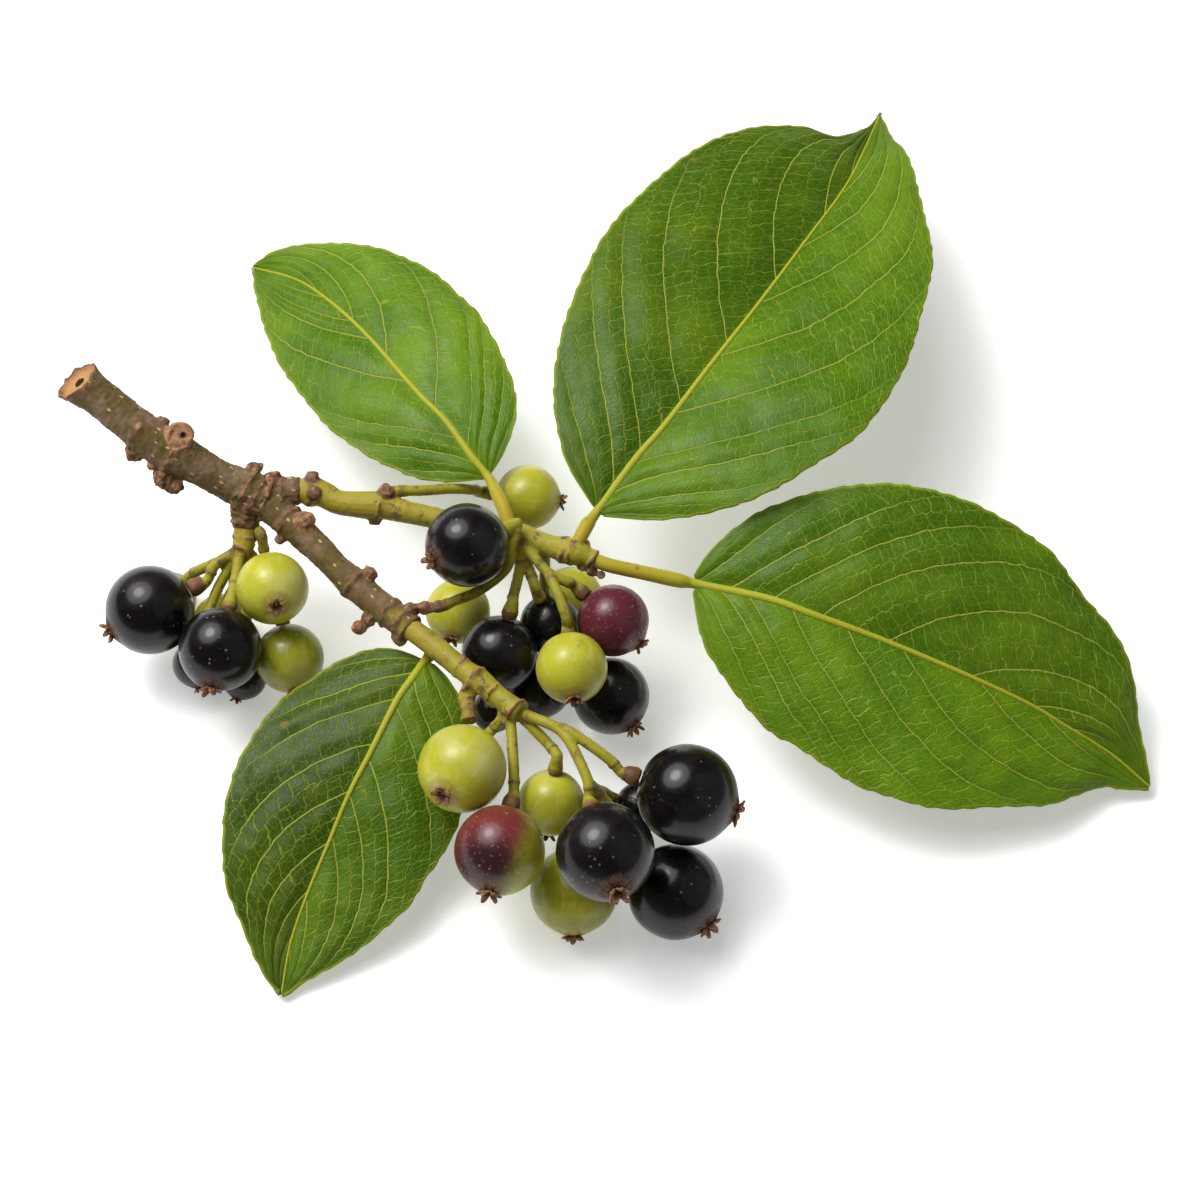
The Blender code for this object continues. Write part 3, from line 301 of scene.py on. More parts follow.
class FruitSettings(bpy.types.PropertyGroup):
    """Sizes and colours of the berries."""
    segments: IntProperty(name="Segments", description="Faces round a berry", default=64, min=24, max=128)
    lumps: FloatProperty(name="Lumps", description="How far the skin departs from a ball, in radii",
                         default=0.012, min=0.0, max=0.05)
    star_reach: FloatProperty(name="Star reach", description="How far the dry calyx spreads, in radii",
                              default=0.27, min=0.1, max=0.5)
    black: FloatVectorProperty(name="Ripe skin", description="Colour of a ripe berry", subtype="COLOR",
                               default=(0.0036, 0.0022, 0.0022))
    bloom: FloatVectorProperty(name="Bloom", description="Waxy bloom on a ripe berry", subtype="COLOR",
                               default=(0.0105, 0.0078, 0.0090))
    green: FloatVectorProperty(name="Unripe skin", description="Colour of an unripe berry", subtype="COLOR",
                               default=(0.515, 0.490, 0.034))
    wine: FloatVectorProperty(name="Turning skin", description="Colour of a berry that is turning",
                              subtype="COLOR", default=(0.105, 0.012, 0.018))
    calyx: FloatVectorProperty(name="Calyx", description="Colour of the dry calyx star", subtype="COLOR",
                               default=(0.285, 0.145, 0.074))


class StemSettings(bpy.types.PropertyGroup):
    """Sizes and colours of the twig, the shoots and the stalks."""
    stalk_radius: FloatProperty(name="Stalk radius", description="Radius of a berry's stalk in millimetres",
                                default=0.55, min=0.3, max=1.0)
    cup_radius: FloatProperty(name="Cup radius",
                              description="Radius of the swollen end of a stalk in millimetres",
                              default=0.98, min=0.5, max=1.5)
    voxel: FloatProperty(name="Detail", description="Size of the stem's fused skin cells in millimetres",
                         default=0.14, min=0.1, max=0.5)
    bark: FloatVectorProperty(name="Bark", description="Colour of the old bark", subtype="COLOR",
                              default=(0.128, 0.080, 0.027))
    haze: FloatVectorProperty(name="Bark haze", description="Violet grey film on the bark", subtype="COLOR",
                              default=(0.236, 0.150, 0.092))
    scar: FloatVectorProperty(name="Scar", description="Colour of the scars, rings and buds", subtype="COLOR",
                              default=(0.165, 0.082, 0.040))
    green: FloatVectorProperty(name="Green wood", description="Colour of the young shoots", subtype="COLOR",
                               default=(0.305, 0.248, 0.022))
    wood: FloatVectorProperty(name="Cut wood", description="Colour of the cut end", subtype="COLOR",
                              default=(0.42, 0.205, 0.070))


class LeafSettings(bpy.types.PropertyGroup):
    """Sizes and colours of the leaves."""
    thickness: FloatProperty(name="Thickness", description="Thickness of the blade", unit="LENGTH",
                             default=0.0003, min=0.0001, max=0.001)
    tooth: FloatProperty(name="Tooth height", description="Height of a tooth on the margin in millimetres",
                         default=0.17, min=0.0, max=1.0)
    pitch: FloatProperty(name="Tooth pitch", description="Distance between two teeth in millimetres",
                         default=2.3, min=1.0, max=6.0)
    quilting: FloatProperty(name="Quilting",
                            description="How far the blade swells between veins, in millimetres",
                            default=0.13, min=0.0, max=0.6)
    dark: FloatVectorProperty(name="Dark green", description="Darker colour of the blade", subtype="COLOR",
                              default=(0.042, 0.112, 0.001))
    light: FloatVectorProperty(name="Light green", description="Lighter colour of the blade", subtype="COLOR",
                               default=(0.100, 0.188, 0.002))
    vein: FloatVectorProperty(name="Vein", description="Colour of the veins and the margin", subtype="COLOR",
                              default=(0.42, 0.46, 0.055))


class StageSettings(bpy.types.PropertyGroup):
    """The floor, the lights and the camera."""
    tilt: FloatProperty(name="Camera tilt", description="Height of the view above the floor", subtype="ANGLE",
                        default=math.radians(62))
    distance: FloatProperty(name="Camera distance", description="Distance of the camera from the sprig",
                            unit="LENGTH", default=0.420)
    key: FloatProperty(name="Key light", description="Strength of the main soft light",
                       unit="POWER", default=8.8)
    sky: FloatProperty(name="Surround", description="Strength of the white surround", default=0.11)
    floor: FloatVectorProperty(name="Floor", description="Colour of the floor", subtype="COLOR",
                               default=(0.90, 0.90, 0.90))
    glow: FloatProperty(name="Floor glow", description="Light that the floor gives off by itself",
                        default=0.36)


class Wire:
    """One output socket of a finish, with Python's arithmetic for its value."""

    def __init__(self, finish, socket):
        self.finish, self.socket = finish, socket

    def _math(self, operation, first, second):
        return self.finish.maths(operation, first, second)

    def __add__(self, other):
        return self._math("ADD", self, other)

    def __radd__(self, other):
        return self._math("ADD", other, self)

    def __sub__(self, other):
        return self._math("SUBTRACT", self, other)

    def __rsub__(self, other):
        return self._math("SUBTRACT", other, self)

    def __mul__(self, other):
        return self._math("MULTIPLY", self, other)

    def __rmul__(self, other):
        return self._math("MULTIPLY", other, self)

    def __pow__(self, other):
        return self._math("POWER", self, other)


class Finish:
    """A procedural material under construction."""

    def __init__(self, name, **constants):
        self.material = bpy.data.materials.new(name)
        self.material.use_nodes = True
        self.tree = self.material.node_tree
        self.shader = self.tree.nodes["Principled BSDF"]
        for socket, value in constants.items():
            self.shader.inputs[socket.replace("_", " ")].default_value = value

    def node(self, kind, settings=None, inputs=None, output=0):
        """Add a node, set its settings, then its sockets, and return one of its outputs."""
        made = self.tree.nodes.new(kind)
        for key, value in (settings or {}).items():
            if key == "stops":
                self._stops(made.color_ramp, value)
            else:
                setattr(made, key, value)
        for key, value in (inputs or {}).items():
            self.feed(made.inputs[key], value)
        return Wire(self, made.outputs[output])

    def _stops(self, ramp, stops):
        while len(ramp.elements) < len(stops):
            ramp.elements.new(0.5)
        for element, (place, colour) in zip(ramp.elements, stops):
            element.position, element.color = place, (*colour, 1.0)

    def feed(self, socket, value):
        """Link a wire to a socket or set the socket's own value."""
        if isinstance(value, Wire):
            self.tree.links.new(value.socket, socket)
        elif socket.type == "RGBA" and len(value) == 3:
            socket.default_value = (*value, 1.0)
        else:
            socket.default_value = value

    def place(self):
        return self.node("ShaderNodeTexCoord", output="Object")

    def attribute(self, name, output="Fac"):
        return self.node("ShaderNodeAttribute", {"attribute_name": name}, output=output)

    def axes(self, vector):
        split = self.node("ShaderNodeSeparateXYZ", inputs={0: vector}).socket.node
        return [Wire(self, socket) for socket in split.outputs]

    def vector(self, x, y, z):
        return self.node("ShaderNodeCombineXYZ", inputs={0: x, 1: y, 2: z})

    def stretch(self, vector, scale, shift=(0, 0, 0)):
        return self.node("ShaderNodeMapping", inputs={"Vector": vector, "Scale": scale, "Location": shift})

    def noise(self, vector, scale, detail=3.0, roughness=0.55):
        return self.node("ShaderNodeTexNoise",
                         inputs={"Vector": vector, "Scale": scale, "Detail": detail, "Roughness": roughness})

    def cells(self, vector, scale=1.0):
        """Distance from the middle of the nearest of many scattered cells."""
        return self.node("ShaderNodeTexVoronoi", inputs={"Vector": vector, "Scale": scale}, output="Distance")

    def web(self, vector, randomness, half_width, blur):
        """Mask of the lines between flat cells one unit across."""
        edge = self.node("ShaderNodeTexVoronoi", {"feature": "DISTANCE_TO_EDGE", "voronoi_dimensions": "2D"},
                         {"Vector": vector, "Scale": 1.0, "Randomness": randomness}, "Distance")
        return self.line(edge, half_width, blur)

    def ease(self, value, low, high, out_low=0.0, out_high=1.0):
        """Smooth step of a value between two limits."""
        return self.node("ShaderNodeMapRange", {"interpolation_type": "SMOOTHSTEP"},
                         {0: value, 1: low, 2: high, 3: out_low, 4: out_high})

    def fade(self, value, full, none):
        """Smooth step down, from 1 at full to 0 at none."""
        return self.ease(value, full, none, 1.0, 0.0)

    def line(self, distance, half_width, blur):
        """Mask of a line, 1 at distance 0 and 0 past half_width + blur."""
        return self.fade(distance, half_width, half_width + blur)

    def maths(self, operation, *values):
        return self.node("ShaderNodeMath", {"operation": operation}, dict(enumerate(values)))

    def vectors(self, operation, *values, output=0):
        return self.node("ShaderNodeVectorMath", {"operation": operation}, dict(enumerate(values)), output)

    def zigzag(self, value):
        """Distance of a value from the nearest whole number."""
        return self.maths("PINGPONG", value, 0.5)

    def mix(self, share, first, second, blend="MIX"):
        return self.node("ShaderNodeMix", {"data_type": "RGBA", "blend_type": blend},
                         {0: share, 6: first, 7: second}, output=2)

    def washes(self, colour, *washes):
        """Lay washes over a colour in turn, each a mask, its strength and the wash's own colour."""
        for mask, strength, wash in washes:
            colour = self.mix(mask if strength == 1 else mask * strength, colour, wash)
        return colour

    def ramp(self, value, *stops):
        return self.node("ShaderNodeValToRGB", {"stops": stops}, {0: value})

    def finish(self, colour, roughness=None, height=None, depth=0.0001, strength=0.6):
        """Feed the shader and return the material."""
        self.feed(self.shader.inputs["Base Color"], colour)
        if roughness is not None:
            self.feed(self.shader.inputs["Roughness"], roughness)
        if height is not None:
            bump = self.node("ShaderNodeBump",
                             inputs={"Height": height, "Distance": depth, "Strength": strength})
            self.feed(self.shader.inputs["Normal"], bump)
        return self.material


def tinted(colour, factor):
    """A colour with each channel times a factor, at most 1."""
    return tuple(min(1.0, channel * factor) for channel in colour)


def leaf_upper_finish(settings, tones):
    """Green upper side of a leaf: side veins, rungs and polygons between them, mottling, pale margin, painted
    shade along the sunk side veins, and each half painted lighter or darker as the lamp's sheen and shade
    fall on it.
    """
    made = Finish("leaf_upper", Specular_IOR_Level=0.17)
    place = made.place()
    across, along, _ = made.axes(made.node("ShaderNodeUVMap", {"uv_map": "veins"}))
    gap = made.attribute("gap")
    waver = made.noise(place, 330.0, 2.0) - 0.5
    wiggle = made.noise(place, 950.0, 2.0) - 0.5
    across = across + waver * 0.10
    nearest = made.zigzag(across)
    room = made.ease(gap, 0.5, 1.9, 0.12, 1.0)
    tapering = made.ease(made.attribute("reach"), 0.70, 0.96, 1.0, 0.25)
    side_vein = made.line(nearest * gap, 0.022, 0.095) * tapering * room
    middle = made.line(made.zigzag(across + 0.5 + wiggle * 0.30 + waver * 0.15) * gap, 0.012, 0.085)
    column = made.maths("FLOOR", across * 2.0)
    rungs = made.line(made.zigzag(along * 0.70 + column * 0.47 + wiggle * 0.32 + waver * 1.3), 0.010, 0.062)
    faint = made.ease(made.noise(place, 260.0, 3.0), 0.34, 0.60, 0.30, 1.0)
    net = made.maths("MAXIMUM", middle, rungs) * faint * room
    fine = made.web(made.vector(across * 5.0, along * 1.9, 0.0), 0.9, 0.015, 0.10)
    patch = made.noise(place, 75.0, 4.0, 0.6)
    speckle = made.noise(place, 900.0, 3.0, 0.6)
    blade = made.mix(made.ease(patch, 0.36, 0.68), settings.dark, settings.light)
    blade = made.mix(made.ease(speckle, 0.3, 0.75) * 0.30, blade, settings.light)
    # painted light: each half of the blade is multiplied by its own factor, painting the lamp's sheen on one
    # half and shade on the other
    half_light_shade = made.ease(across, LEFT_HALF * 0.5, LEFT_HALF * 0.75, tones[1], tones[0])
    colour = made.washes(
        made.mix(1.0, blade, made.vector(half_light_shade, half_light_shade, half_light_shade), "MULTIPLY"),
        # painted shade: a deeper green in the band along each side vein, where the quilted blade dips
        (made.ease(nearest, 0.02, 0.22, 0.30, 0.0), 1, (0.030, 0.080, 0.001)),
        (made.ease(made.noise(place, 120.0, 3.0), 0.62, 0.80), 0.40, (0.22, 0.25, 0.006)),
        (fine, 0.12, settings.vein),
        (net, 0.33, settings.vein),
        (side_vein, 0.70, settings.vein),
        (made.line(made.attribute("edge"), 0.10, 0.30), 0.75, (0.27, 0.33, 0.012)),
        (made.fade(made.cells(place, 95.0), 0.035, 0.06), 0.6, (0.26, 0.14, 0.02)))
    height = (fine * -0.20 + net * -0.55 + side_vein * -0.9 + speckle * 0.18
              + made.ease(nearest, 0.0, 0.5) * 0.4)
    roughness = made.ease(patch, 0.2, 0.8, 0.33, 0.41) + side_vein * 0.08
    return made.finish(colour, roughness, height, 0.00015, 0.7)


def leaf_under_finish():
    """Paler matt underside of a leaf."""
    made = Finish("leaf_under", Roughness=0.62, Specular_IOR_Level=0.3)
    across, along, _ = made.axes(made.node("ShaderNodeUVMap", {"uv_map": "veins"}))
    side_vein = made.line(made.zigzag(across) * made.attribute("gap"), 0.10, 0.15)
    net = made.web(made.vector(across * 2.0, along * 0.74, 0.0), 0.50, 0.02, 0.07)
    blade = made.mix(made.noise(made.place(), 140.0, 4.0), (0.115, 0.175, 0.045), (0.17, 0.24, 0.065))
    colour = made.washes(blade, (net, 0.4, (0.33, 0.37, 0.12)), (side_vein, 0.85, (0.36, 0.40, 0.13)))
    return made.finish(colour, None, net * 0.5 + side_vein, 0.00015, 0.7)


def midrib_finish():
    """Yellow green midrib and leaf stalk, browner near the shoot."""
    made = Finish("leaf_midrib", Roughness=0.45, Specular_IOR_Level=0.15)
    streak = made.noise(made.stretch(made.attribute("grain", "Vector"), (0.5, 4.0, 4.0)), 0.9, 3.0)
    base = made.attribute("bark")
    spots = made.fade(made.cells(made.place(), 800.0), 0.12, 0.22) * base
    colour = made.mix(streak, (0.30, 0.33, 0.018), (0.44, 0.43, 0.035))
    colour = made.washes(colour, (base, 0.60, (0.42, 0.27, 0.025)), (spots, 0.6, (0.16, 0.06, 0.03)))
    return made.finish(colour, None, streak, 0.00008, 0.5)


def wood_finish(settings, name):
    """Bark, green wood, scars and cut wood, told apart by the stem's own attributes."""
    made = Finish(name, Specular_IOR_Level=0.2)
    place, grain = made.place(), made.attribute("grain", "Vector")
    bark, scar, cup, joint, cut, pith, rise = (made.attribute(mark) for mark in WOOD_MARKS)
    ring_lines = made.noise(made.stretch(grain, (7.0, 0.8, 0.8)), 1.0, 4.0, 0.65)
    long_lines = made.noise(made.stretch(grain, (0.45, 2.6, 2.6)), 1.0, 4.0, 0.6)
    crevice = made.noise(made.stretch(grain, (0.8, 5.5, 5.5)), 1.0, 4.0, 0.65)
    blotch = made.noise(made.stretch(grain, (0.55, 0.6, 0.6), (3.7, 1.3, 0.4)), 1.25, 5.0, 0.7)
    patch = made.noise(place, 420.0, 3.0, 0.6)
    grit = made.noise(place, 1500.0, 4.0, 0.7)
    uneven = grit - 0.5
    dots = made.fade(made.cells(made.stretch(grain, (0.75, 1.25, 1.25))), 0.13, 0.21)
    specks = made.fade(made.cells(made.stretch(grain, (1.1, 1.8, 1.8))), 0.10, 0.17)
    green = made.washes(
        made.mix(long_lines, settings.green, (0.39, 0.31, 0.040)),
        (made.ease(bark, 0.02, 0.12, 0.75, 0.0), 1, (0.335, 0.320, 0.022)),
        (made.ease(patch, 0.50, 0.72), 0.5, (0.165, 0.130, 0.018)),
        (made.ease(blotch, 0.565, 0.655), 0.75, (0.105, 0.040, 0.045)),
        (specks, 0.6, (0.15, 0.07, 0.035)))
    old = made.washes(
        made.mix(made.ease(long_lines, 0.30, 0.70), settings.bark, (0.132, 0.096, 0.024)),
        (made.ease(patch, 0.42, 0.66), 0.8, settings.haze),
        (made.ease(ring_lines, 0.55, 0.75), 0.5, (0.060, 0.038, 0.024)),
        # partly the bark's darker fissures and partly painted shade: the crevices that the bump sinks are
        # darkened
        (made.ease(crevice, 0.56, 0.70), 0.45, (0.055, 0.036, 0.018)),
        (dots, 0.95, (0.55, 0.40, 0.17)))
    rise = rise + uneven * 0.5
    # painted light and shade: scars, rings and buds turn pale tan where their relief is raised and near black
    # where it is sunk, over the scar's own brown
    scars_and_painted_light = made.washes(
        made.mix(made.ease(rise, 0.45, 0.80), settings.scar, (0.46, 0.245, 0.120)),
        (made.ease(rise, 0.22, 0.44, 0.85, 0.0), 1, (0.040, 0.022, 0.014)),
        (made.ease(patch, 0.45, 0.75), 0.45, (0.20, 0.15, 0.10)))
    wine = made.mix(made.ease(patch, 0.35, 0.65), (0.085, 0.016, 0.024), (0.205, 0.070, 0.052))
    fresh = made.mix(made.noise(place, 1300.0, 4.0), settings.wood, (0.50, 0.27, 0.11))
    fresh = made.mix(made.fade(cut, 0.55, 0.98), fresh, (0.40, 0.185, 0.070))
    halo = made.ease(pith, 0.05, 0.30) * made.fade(pith, 0.30, 0.60)
    colour = made.washes(
        made.mix(made.ease(bark + (patch - 0.5) * 0.9, 0.30, 0.62), green, old),
        (made.ease(scar + uneven * 0.5, 0.35, 0.60), 1, scars_and_painted_light),
        (made.ease(cup + uneven * 0.5, 0.25, 0.85), 0.85, wine),
        (made.ease(joint + uneven, 0.35, 0.85), 0.66, (0.165, 0.068, 0.046)),
        (made.ease(cut, 0.15, 0.45), 1, fresh),
        (halo, 0.6, (0.66, 0.45, 0.24)),
        (made.ease(pith, 0.40, 0.70), 1, (0.045, 0.018, 0.008)))
    height = (ring_lines * (0.25 + bark * 0.6) + long_lines * 0.4 + crevice * bark * -0.8
              + dots * bark * 0.6 + grit * (0.15 + scar * 0.9))
    roughness = made.ease(bark + scar * 0.7 + cut, 0.1, 0.9, 0.46, 0.72)
    return made.finish(colour, roughness, height, 0.00013, 0.85)


def skin_extras(made, place, unit):
    """Pale specks, a rough brown patch round the calyx and its cracks, shared by every berry skin."""
    _, _, height = made.axes(unit)
    specks = made.fade(made.cells(place, 1350.0), 0.12, 0.19)
    rarely = made.ease(made.noise(place, 300.0, 3.0), 0.50, 0.58)
    crack = made.noise(made.stretch(unit, (5.0, 5.0, 1.2)), 2.2, 5.0, 0.7)
    near_calyx = made.ease(height + (crack - 0.5) * 0.12, 0.885, 0.955)
    return specks * rarely, near_calyx, crack


def black_skin(settings):
    """Ripe skin: nearly black, with a thin bloom, tiny specks and a dull patch by the calyx."""
    made = Finish("berry_black", Specular_IOR_Level=0.21, Specular_Tint=(0.97, 0.88, 0.95, 1.0),
                  Coat_Roughness=0.13, Coat_IOR=1.45)
    place, unit = made.place(), made.attribute("unit", "Vector")
    specks, near_calyx, crack = skin_extras(made, place, unit)
    bloom = made.noise(place, 260.0, 4.0, 0.65)
    dust = made.noise(place, 2600.0, 3.0, 0.6)
    colour = made.washes(
        made.mix(made.ease(bloom, 0.42, 0.72), settings.black, settings.bloom),
        (made.ease(dust, 0.55, 0.8), 0.25, (0.050, 0.042, 0.050)),
        (specks, 0.75, (0.20, 0.15, 0.11)),
        (near_calyx * made.ease(crack, 0.38, 0.56), 0.85, (0.150, 0.078, 0.044)))
    made.feed(made.shader.inputs["Coat Weight"], (1.0 - near_calyx) * 0.32)
    roughness = made.ease(bloom, 0.3, 0.75, 0.24, 0.37) + near_calyx * 0.28
    height = dust * 0.35 + specks * 0.6 + crack * near_calyx * 1.2 + bloom * 0.6
    return made.finish(colour, roughness, height, 0.00006, 0.5)


def green_skin(settings, name, shade):
    """Unripe skin, darker as its shade grows: pale washes, streaks from pole to pole, a few rubs."""
    made = Finish(name, Specular_IOR_Level=0.14, Coat_Weight=0.40, Coat_Roughness=0.20,
                  Subsurface_Weight=0.12, Subsurface_Radius=(0.9, 1.0, 0.25), Subsurface_Scale=0.0015)
    place, unit = made.place(), made.attribute("unit", "Vector")
    specks, near_calyx, crack = skin_extras(made, place, unit)
    streak = made.noise(made.stretch(unit, (4.2, 4.2, 0.55)), 1.7, 4.0, 0.6)
    light = tinted(settings.green, 1.0 - 0.45 * shade)
    deep = tuple(channel * factor for channel, factor in zip(light, (0.385, 0.44, 0.06)))
    colour = made.washes(
        light,
        (made.ease(made.noise(place, 190.0, 3.0, 0.55), 0.30, 0.70), 0.35 + shade, deep),
        (made.ease(made.noise(place, 150.0, 2.0, 0.5), 0.52, 0.72), 0.38 - 0.2 * shade, (0.66, 0.63, 0.36)),
        (made.ease(streak, 0.50, 0.75), 0.30 - 0.2 * shade, (0.67, 0.65, 0.30)),
        (made.ease(made.noise(place, 230.0, 5.0, 0.75), 0.66, 0.73), 0.45, (0.33, 0.17, 0.055)),
        (specks, 0.35, (0.52, 0.50, 0.22)),
        (near_calyx, 0.5, (0.30, 0.17, 0.055)))
    roughness = made.ease(streak, 0.3, 0.8, 0.34, 0.44) + near_calyx * 0.2
    height = streak * 0.5 + crack * near_calyx + specks * 0.5
    return made.finish(colour, roughness, height, 0.00006, 0.45)


def turning_skin(name, berry, base, *blushes):
    """Skin part way to ripe: washes of colour that each face one way, under fine pale specks."""
    made = Finish(name, Specular_IOR_Level=0.22, Coat_Weight=0.35, Coat_Roughness=0.20)
    place, unit = made.place(), made.attribute("unit", "Vector")
    specks, near_calyx, crack = skin_extras(made, place, unit)
    centre = [(part - middle) * MM for part, middle in zip(BERRIES[berry].centre, MIDDLE)]
    out = made.vectors("NORMALIZE", made.vectors("SUBTRACT", place, centre))
    blur = made.noise(place, 330.0, 5.0, 0.7) - 0.5
    colour = made.mix(made.noise(place, 260.0, 3.0), base, tinted(base, 0.7))
    for way, start, full, wash in blushes:
        facing = made.vectors("DOT_PRODUCT", out, Vector(way).normalized(), output="Value")
        colour = made.mix(made.ease(facing + blur * 0.55, start, full), colour, wash)
    fine = made.fade(made.cells(place, 2100.0), 0.16, 0.30)
    colour = made.washes(colour, (fine, 0.22, (0.42, 0.18, 0.14)), (specks, 0.42, (0.58, 0.42, 0.30)),
                         (near_calyx, 0.55, (0.14, 0.08, 0.03)))
    return made.finish(colour, 0.34 + near_calyx * 0.25, fine * 0.4 + crack * near_calyx, 0.00006, 0.5)


def calyx_finish(settings, name, light):
    """Dry brown calyx star, dark in its middle; light is how much paler its palest grit is."""
    made = Finish(name, Roughness=0.85, Specular_IOR_Level=0.25)
    grit = made.noise(made.place(), 3200.0, 5.0, 0.7)
    colour = made.ramp(grit, (0.30, tinted(settings.calyx, 0.25)), (0.52, settings.calyx),
                       (0.72, tinted(settings.calyx, light)))
    x, y, _ = made.axes(made.attribute("unit", "Vector"))
    tip = made.ease((x * x + y * y) ** 0.5 + (grit - 0.5) * 0.06, 0.07, 0.19)
    colour = made.mix((1.0 - tip) * 0.75, colour, (0.045, 0.016, 0.010))
    return made.finish(colour, None, grit, 0.00015, 0.9)


def deselect():
    bpy.ops.object.select_all(action="DESELECT")


def pick(made):
    """Make one object the only selected and active one."""
    deselect()
    made.select_set(True)
    bpy.context.view_layer.objects.active = made
    return made


def join(pieces, name):
    """Join objects into the first one."""
    pick(pieces[0])
    for piece in pieces[1:]:
        piece.select_set(True)
    if len(pieces) > 1:
        bpy.ops.object.join()
    made = bpy.context.object
    made.name = made.data.name = name
    return made


def apply_modifier(made, kind, **settings):
    """Add a modifier, set it and apply it."""
    pick(made)
    modifier = made.modifiers.new(kind.lower(), kind)
    for key, value in settings.items():
        setattr(modifier, key, value)
    bpy.ops.object.modifier_apply(modifier=modifier.name)
    return made


def put_in_place(made, *nodes, slot):
    """Bring a millimetre piece to the part's frame, and let it stand for its CAD nodes."""
    made.data.transform(Matrix.Scale(MM, 4) @ Matrix.Translation(-MIDDLE))
    made.data.update()
    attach(made, "root")
    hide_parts(*nodes)


def clear_uvs(mesh):
    while mesh.uv_layers:
        mesh.uv_layers.remove(mesh.uv_layers[0])


def mark(mesh, name, values, kind="FLOAT"):
    """Give each vertex a number, or a vector, that a finish reads."""
    data = mesh.attributes.new(name, kind, "POINT").data
    data.foreach_set("value" if kind == "FLOAT" else "vector", values)


def running_lengths(points):
    """Length of the open polyline up to each of its points."""
    lengths = [0.0]
    for here, there in zip(points, points[1:]):
        lengths.append(lengths[-1] + (there - here).length)
    return lengths


def spline(points, count):
    """Return count + 1 evenly spaced points on a smooth curve through the points."""
    knots = [Vector(point) for point in points]
    knots = [knots[0] * 2 - knots[1], *knots, knots[-1] * 2 - knots[-2]]
    dense = []
    for before, start, end, after in zip(knots, knots[1:], knots[2:], knots[3:]):
        for part in range(12):
            t = part / 12
            dense.append(0.5 * (2 * start + (end - before) * t
                                + (2 * before - 5 * start + 4 * end - after) * t * t
                                + (3 * start - before - 3 * end + after) * t ** 3))
    dense.append(knots[-2])
    reach = running_lengths(dense)
    even, at = [], 0
    for index in range(count + 1):
        want = reach[-1] * index / count
        while at < len(reach) - 2 and reach[at + 1] < want:
            at += 1
        share = (want - reach[at]) / (reach[at + 1] - reach[at])
        even.append(dense[at].lerp(dense[at + 1], share))
    return even


def length_of(points):
    """Length of the open polyline through the points' first three numbers."""
    spots = [Vector(point[:3]) for point in points]
    return sum((there - here).length for here, there in zip(spots, spots[1:]))


def ease(value, low, high):
    """Smooth step from 0 at low to 1 at high."""
    share = min(1.0, max(0.0, (value - low) / (high - low)))
    return share * share * (3 - 2 * share)


def add_tube(points, step=TUBE_STEP, sides=6):
    """Model a stem as a path with a round section that swells and narrows, and make it a mesh."""
    deselect()
    bpy.ops.curve.primitive_nurbs_path_add()
    path = bpy.context.object
    path.location = (0, 0, 0)
    data = path.data
    data.splines.clear()
    rows = spline(points, max(4, round(length_of(points) / step)))
    line = data.splines.new("POLY")
    line.points.add(len(rows) - 1)
    for point, row in zip(line.points, rows):
        point.co = (*row.to_3d(), 1.0)
        point.radius = row[3]
    data.dimensions = "3D"
    data.bevel_depth = 1.0
    data.bevel_resolution = sides
    data.use_fill_caps = True
    bpy.ops.object.convert(target="MESH")
    return bpy.context.object


def add_knob(centre, radius, seed, craggy):
    """Model a bud or scar as a lumpy ball, a little flatter below."""
    deselect()
    bpy.ops.mesh.primitive_ico_sphere_add(subdivisions=4, radius=radius, location=centre)
    bpy.ops.object.transform_apply(location=True, rotation=False, scale=False)
    made = bpy.context.object
    middle = Vector(centre)
    for vert in made.data.vertices:
        out = vert.co - middle
        lump = noise.noise(out * (1.4 / radius) + Vector((seed, 0, 0))) * 0.32 * craggy
        vert.co = middle + out * (1.0 + lump) * (0.85 if out.z < 0 else 1.0)
    return made


def cut_end(made, centre, normal):
    """Cut a tube's end off along a slanted plane and close it."""
    pick(made)
    bpy.ops.object.mode_set(mode="EDIT")
    bpy.ops.mesh.select_all(action="SELECT")
    bpy.ops.mesh.bisect(plane_co=centre, plane_no=normal, clear_outer=True, use_fill=True)
    bpy.ops.object.mode_set(mode="OBJECT")


def keep_main_shell(made, name):
    """Delete the specks that fusing the tubes may leave inside the skin."""
    pick(made)
    bpy.ops.mesh.separate(type="LOOSE")
    shells = sorted(bpy.context.selected_objects, key=lambda shell: len(shell.data.vertices))
    for speck in shells[:-1]:
        bpy.data.meshes.remove(speck.data)
    shells[-1].name = shells[-1].data.name = name
    return pick(shells[-1])


def grown(name, runs, knobs, settings, rings=(), cut=None):
    """Fuse runs and knobs into one skin, then work its relief and its marks."""
    shapes = []
    for run in runs:
        points = run.points
        slanted = cut and run is runs[0]
        if slanted:
            first, second = Vector(points[0]), Vector(points[1])
            longer = first + (first - second) * 1.6
            points = ((*longer.to_3d(), first[3] * 1.04), *points)
        tube = add_tube(points)
        if slanted:
            cut_end(tube, cut.place, cut.way)
        shapes.append(tube)
    shapes += [add_knob(knob[:3], knob[3], seed, knob[4]) for seed, knob in enumerate(knobs)]
    made = join(shapes, name)
    apply_modifier(made, "REMESH", mode="VOXEL", voxel_size=settings.voxel, adaptivity=0.0)
    made = keep_main_shell(made, name)
    apply_modifier(made, "SMOOTH", factor=0.5, iterations=3)
    work_wood(made, runs, knobs, rings, cut)
    made.data.shade_smooth()
    return made


# a place on a stem's middle line: the way along it, a side, the distance from its start and its marks
Sample = namedtuple("Sample", "spot radius ahead side along run bark cup joint")


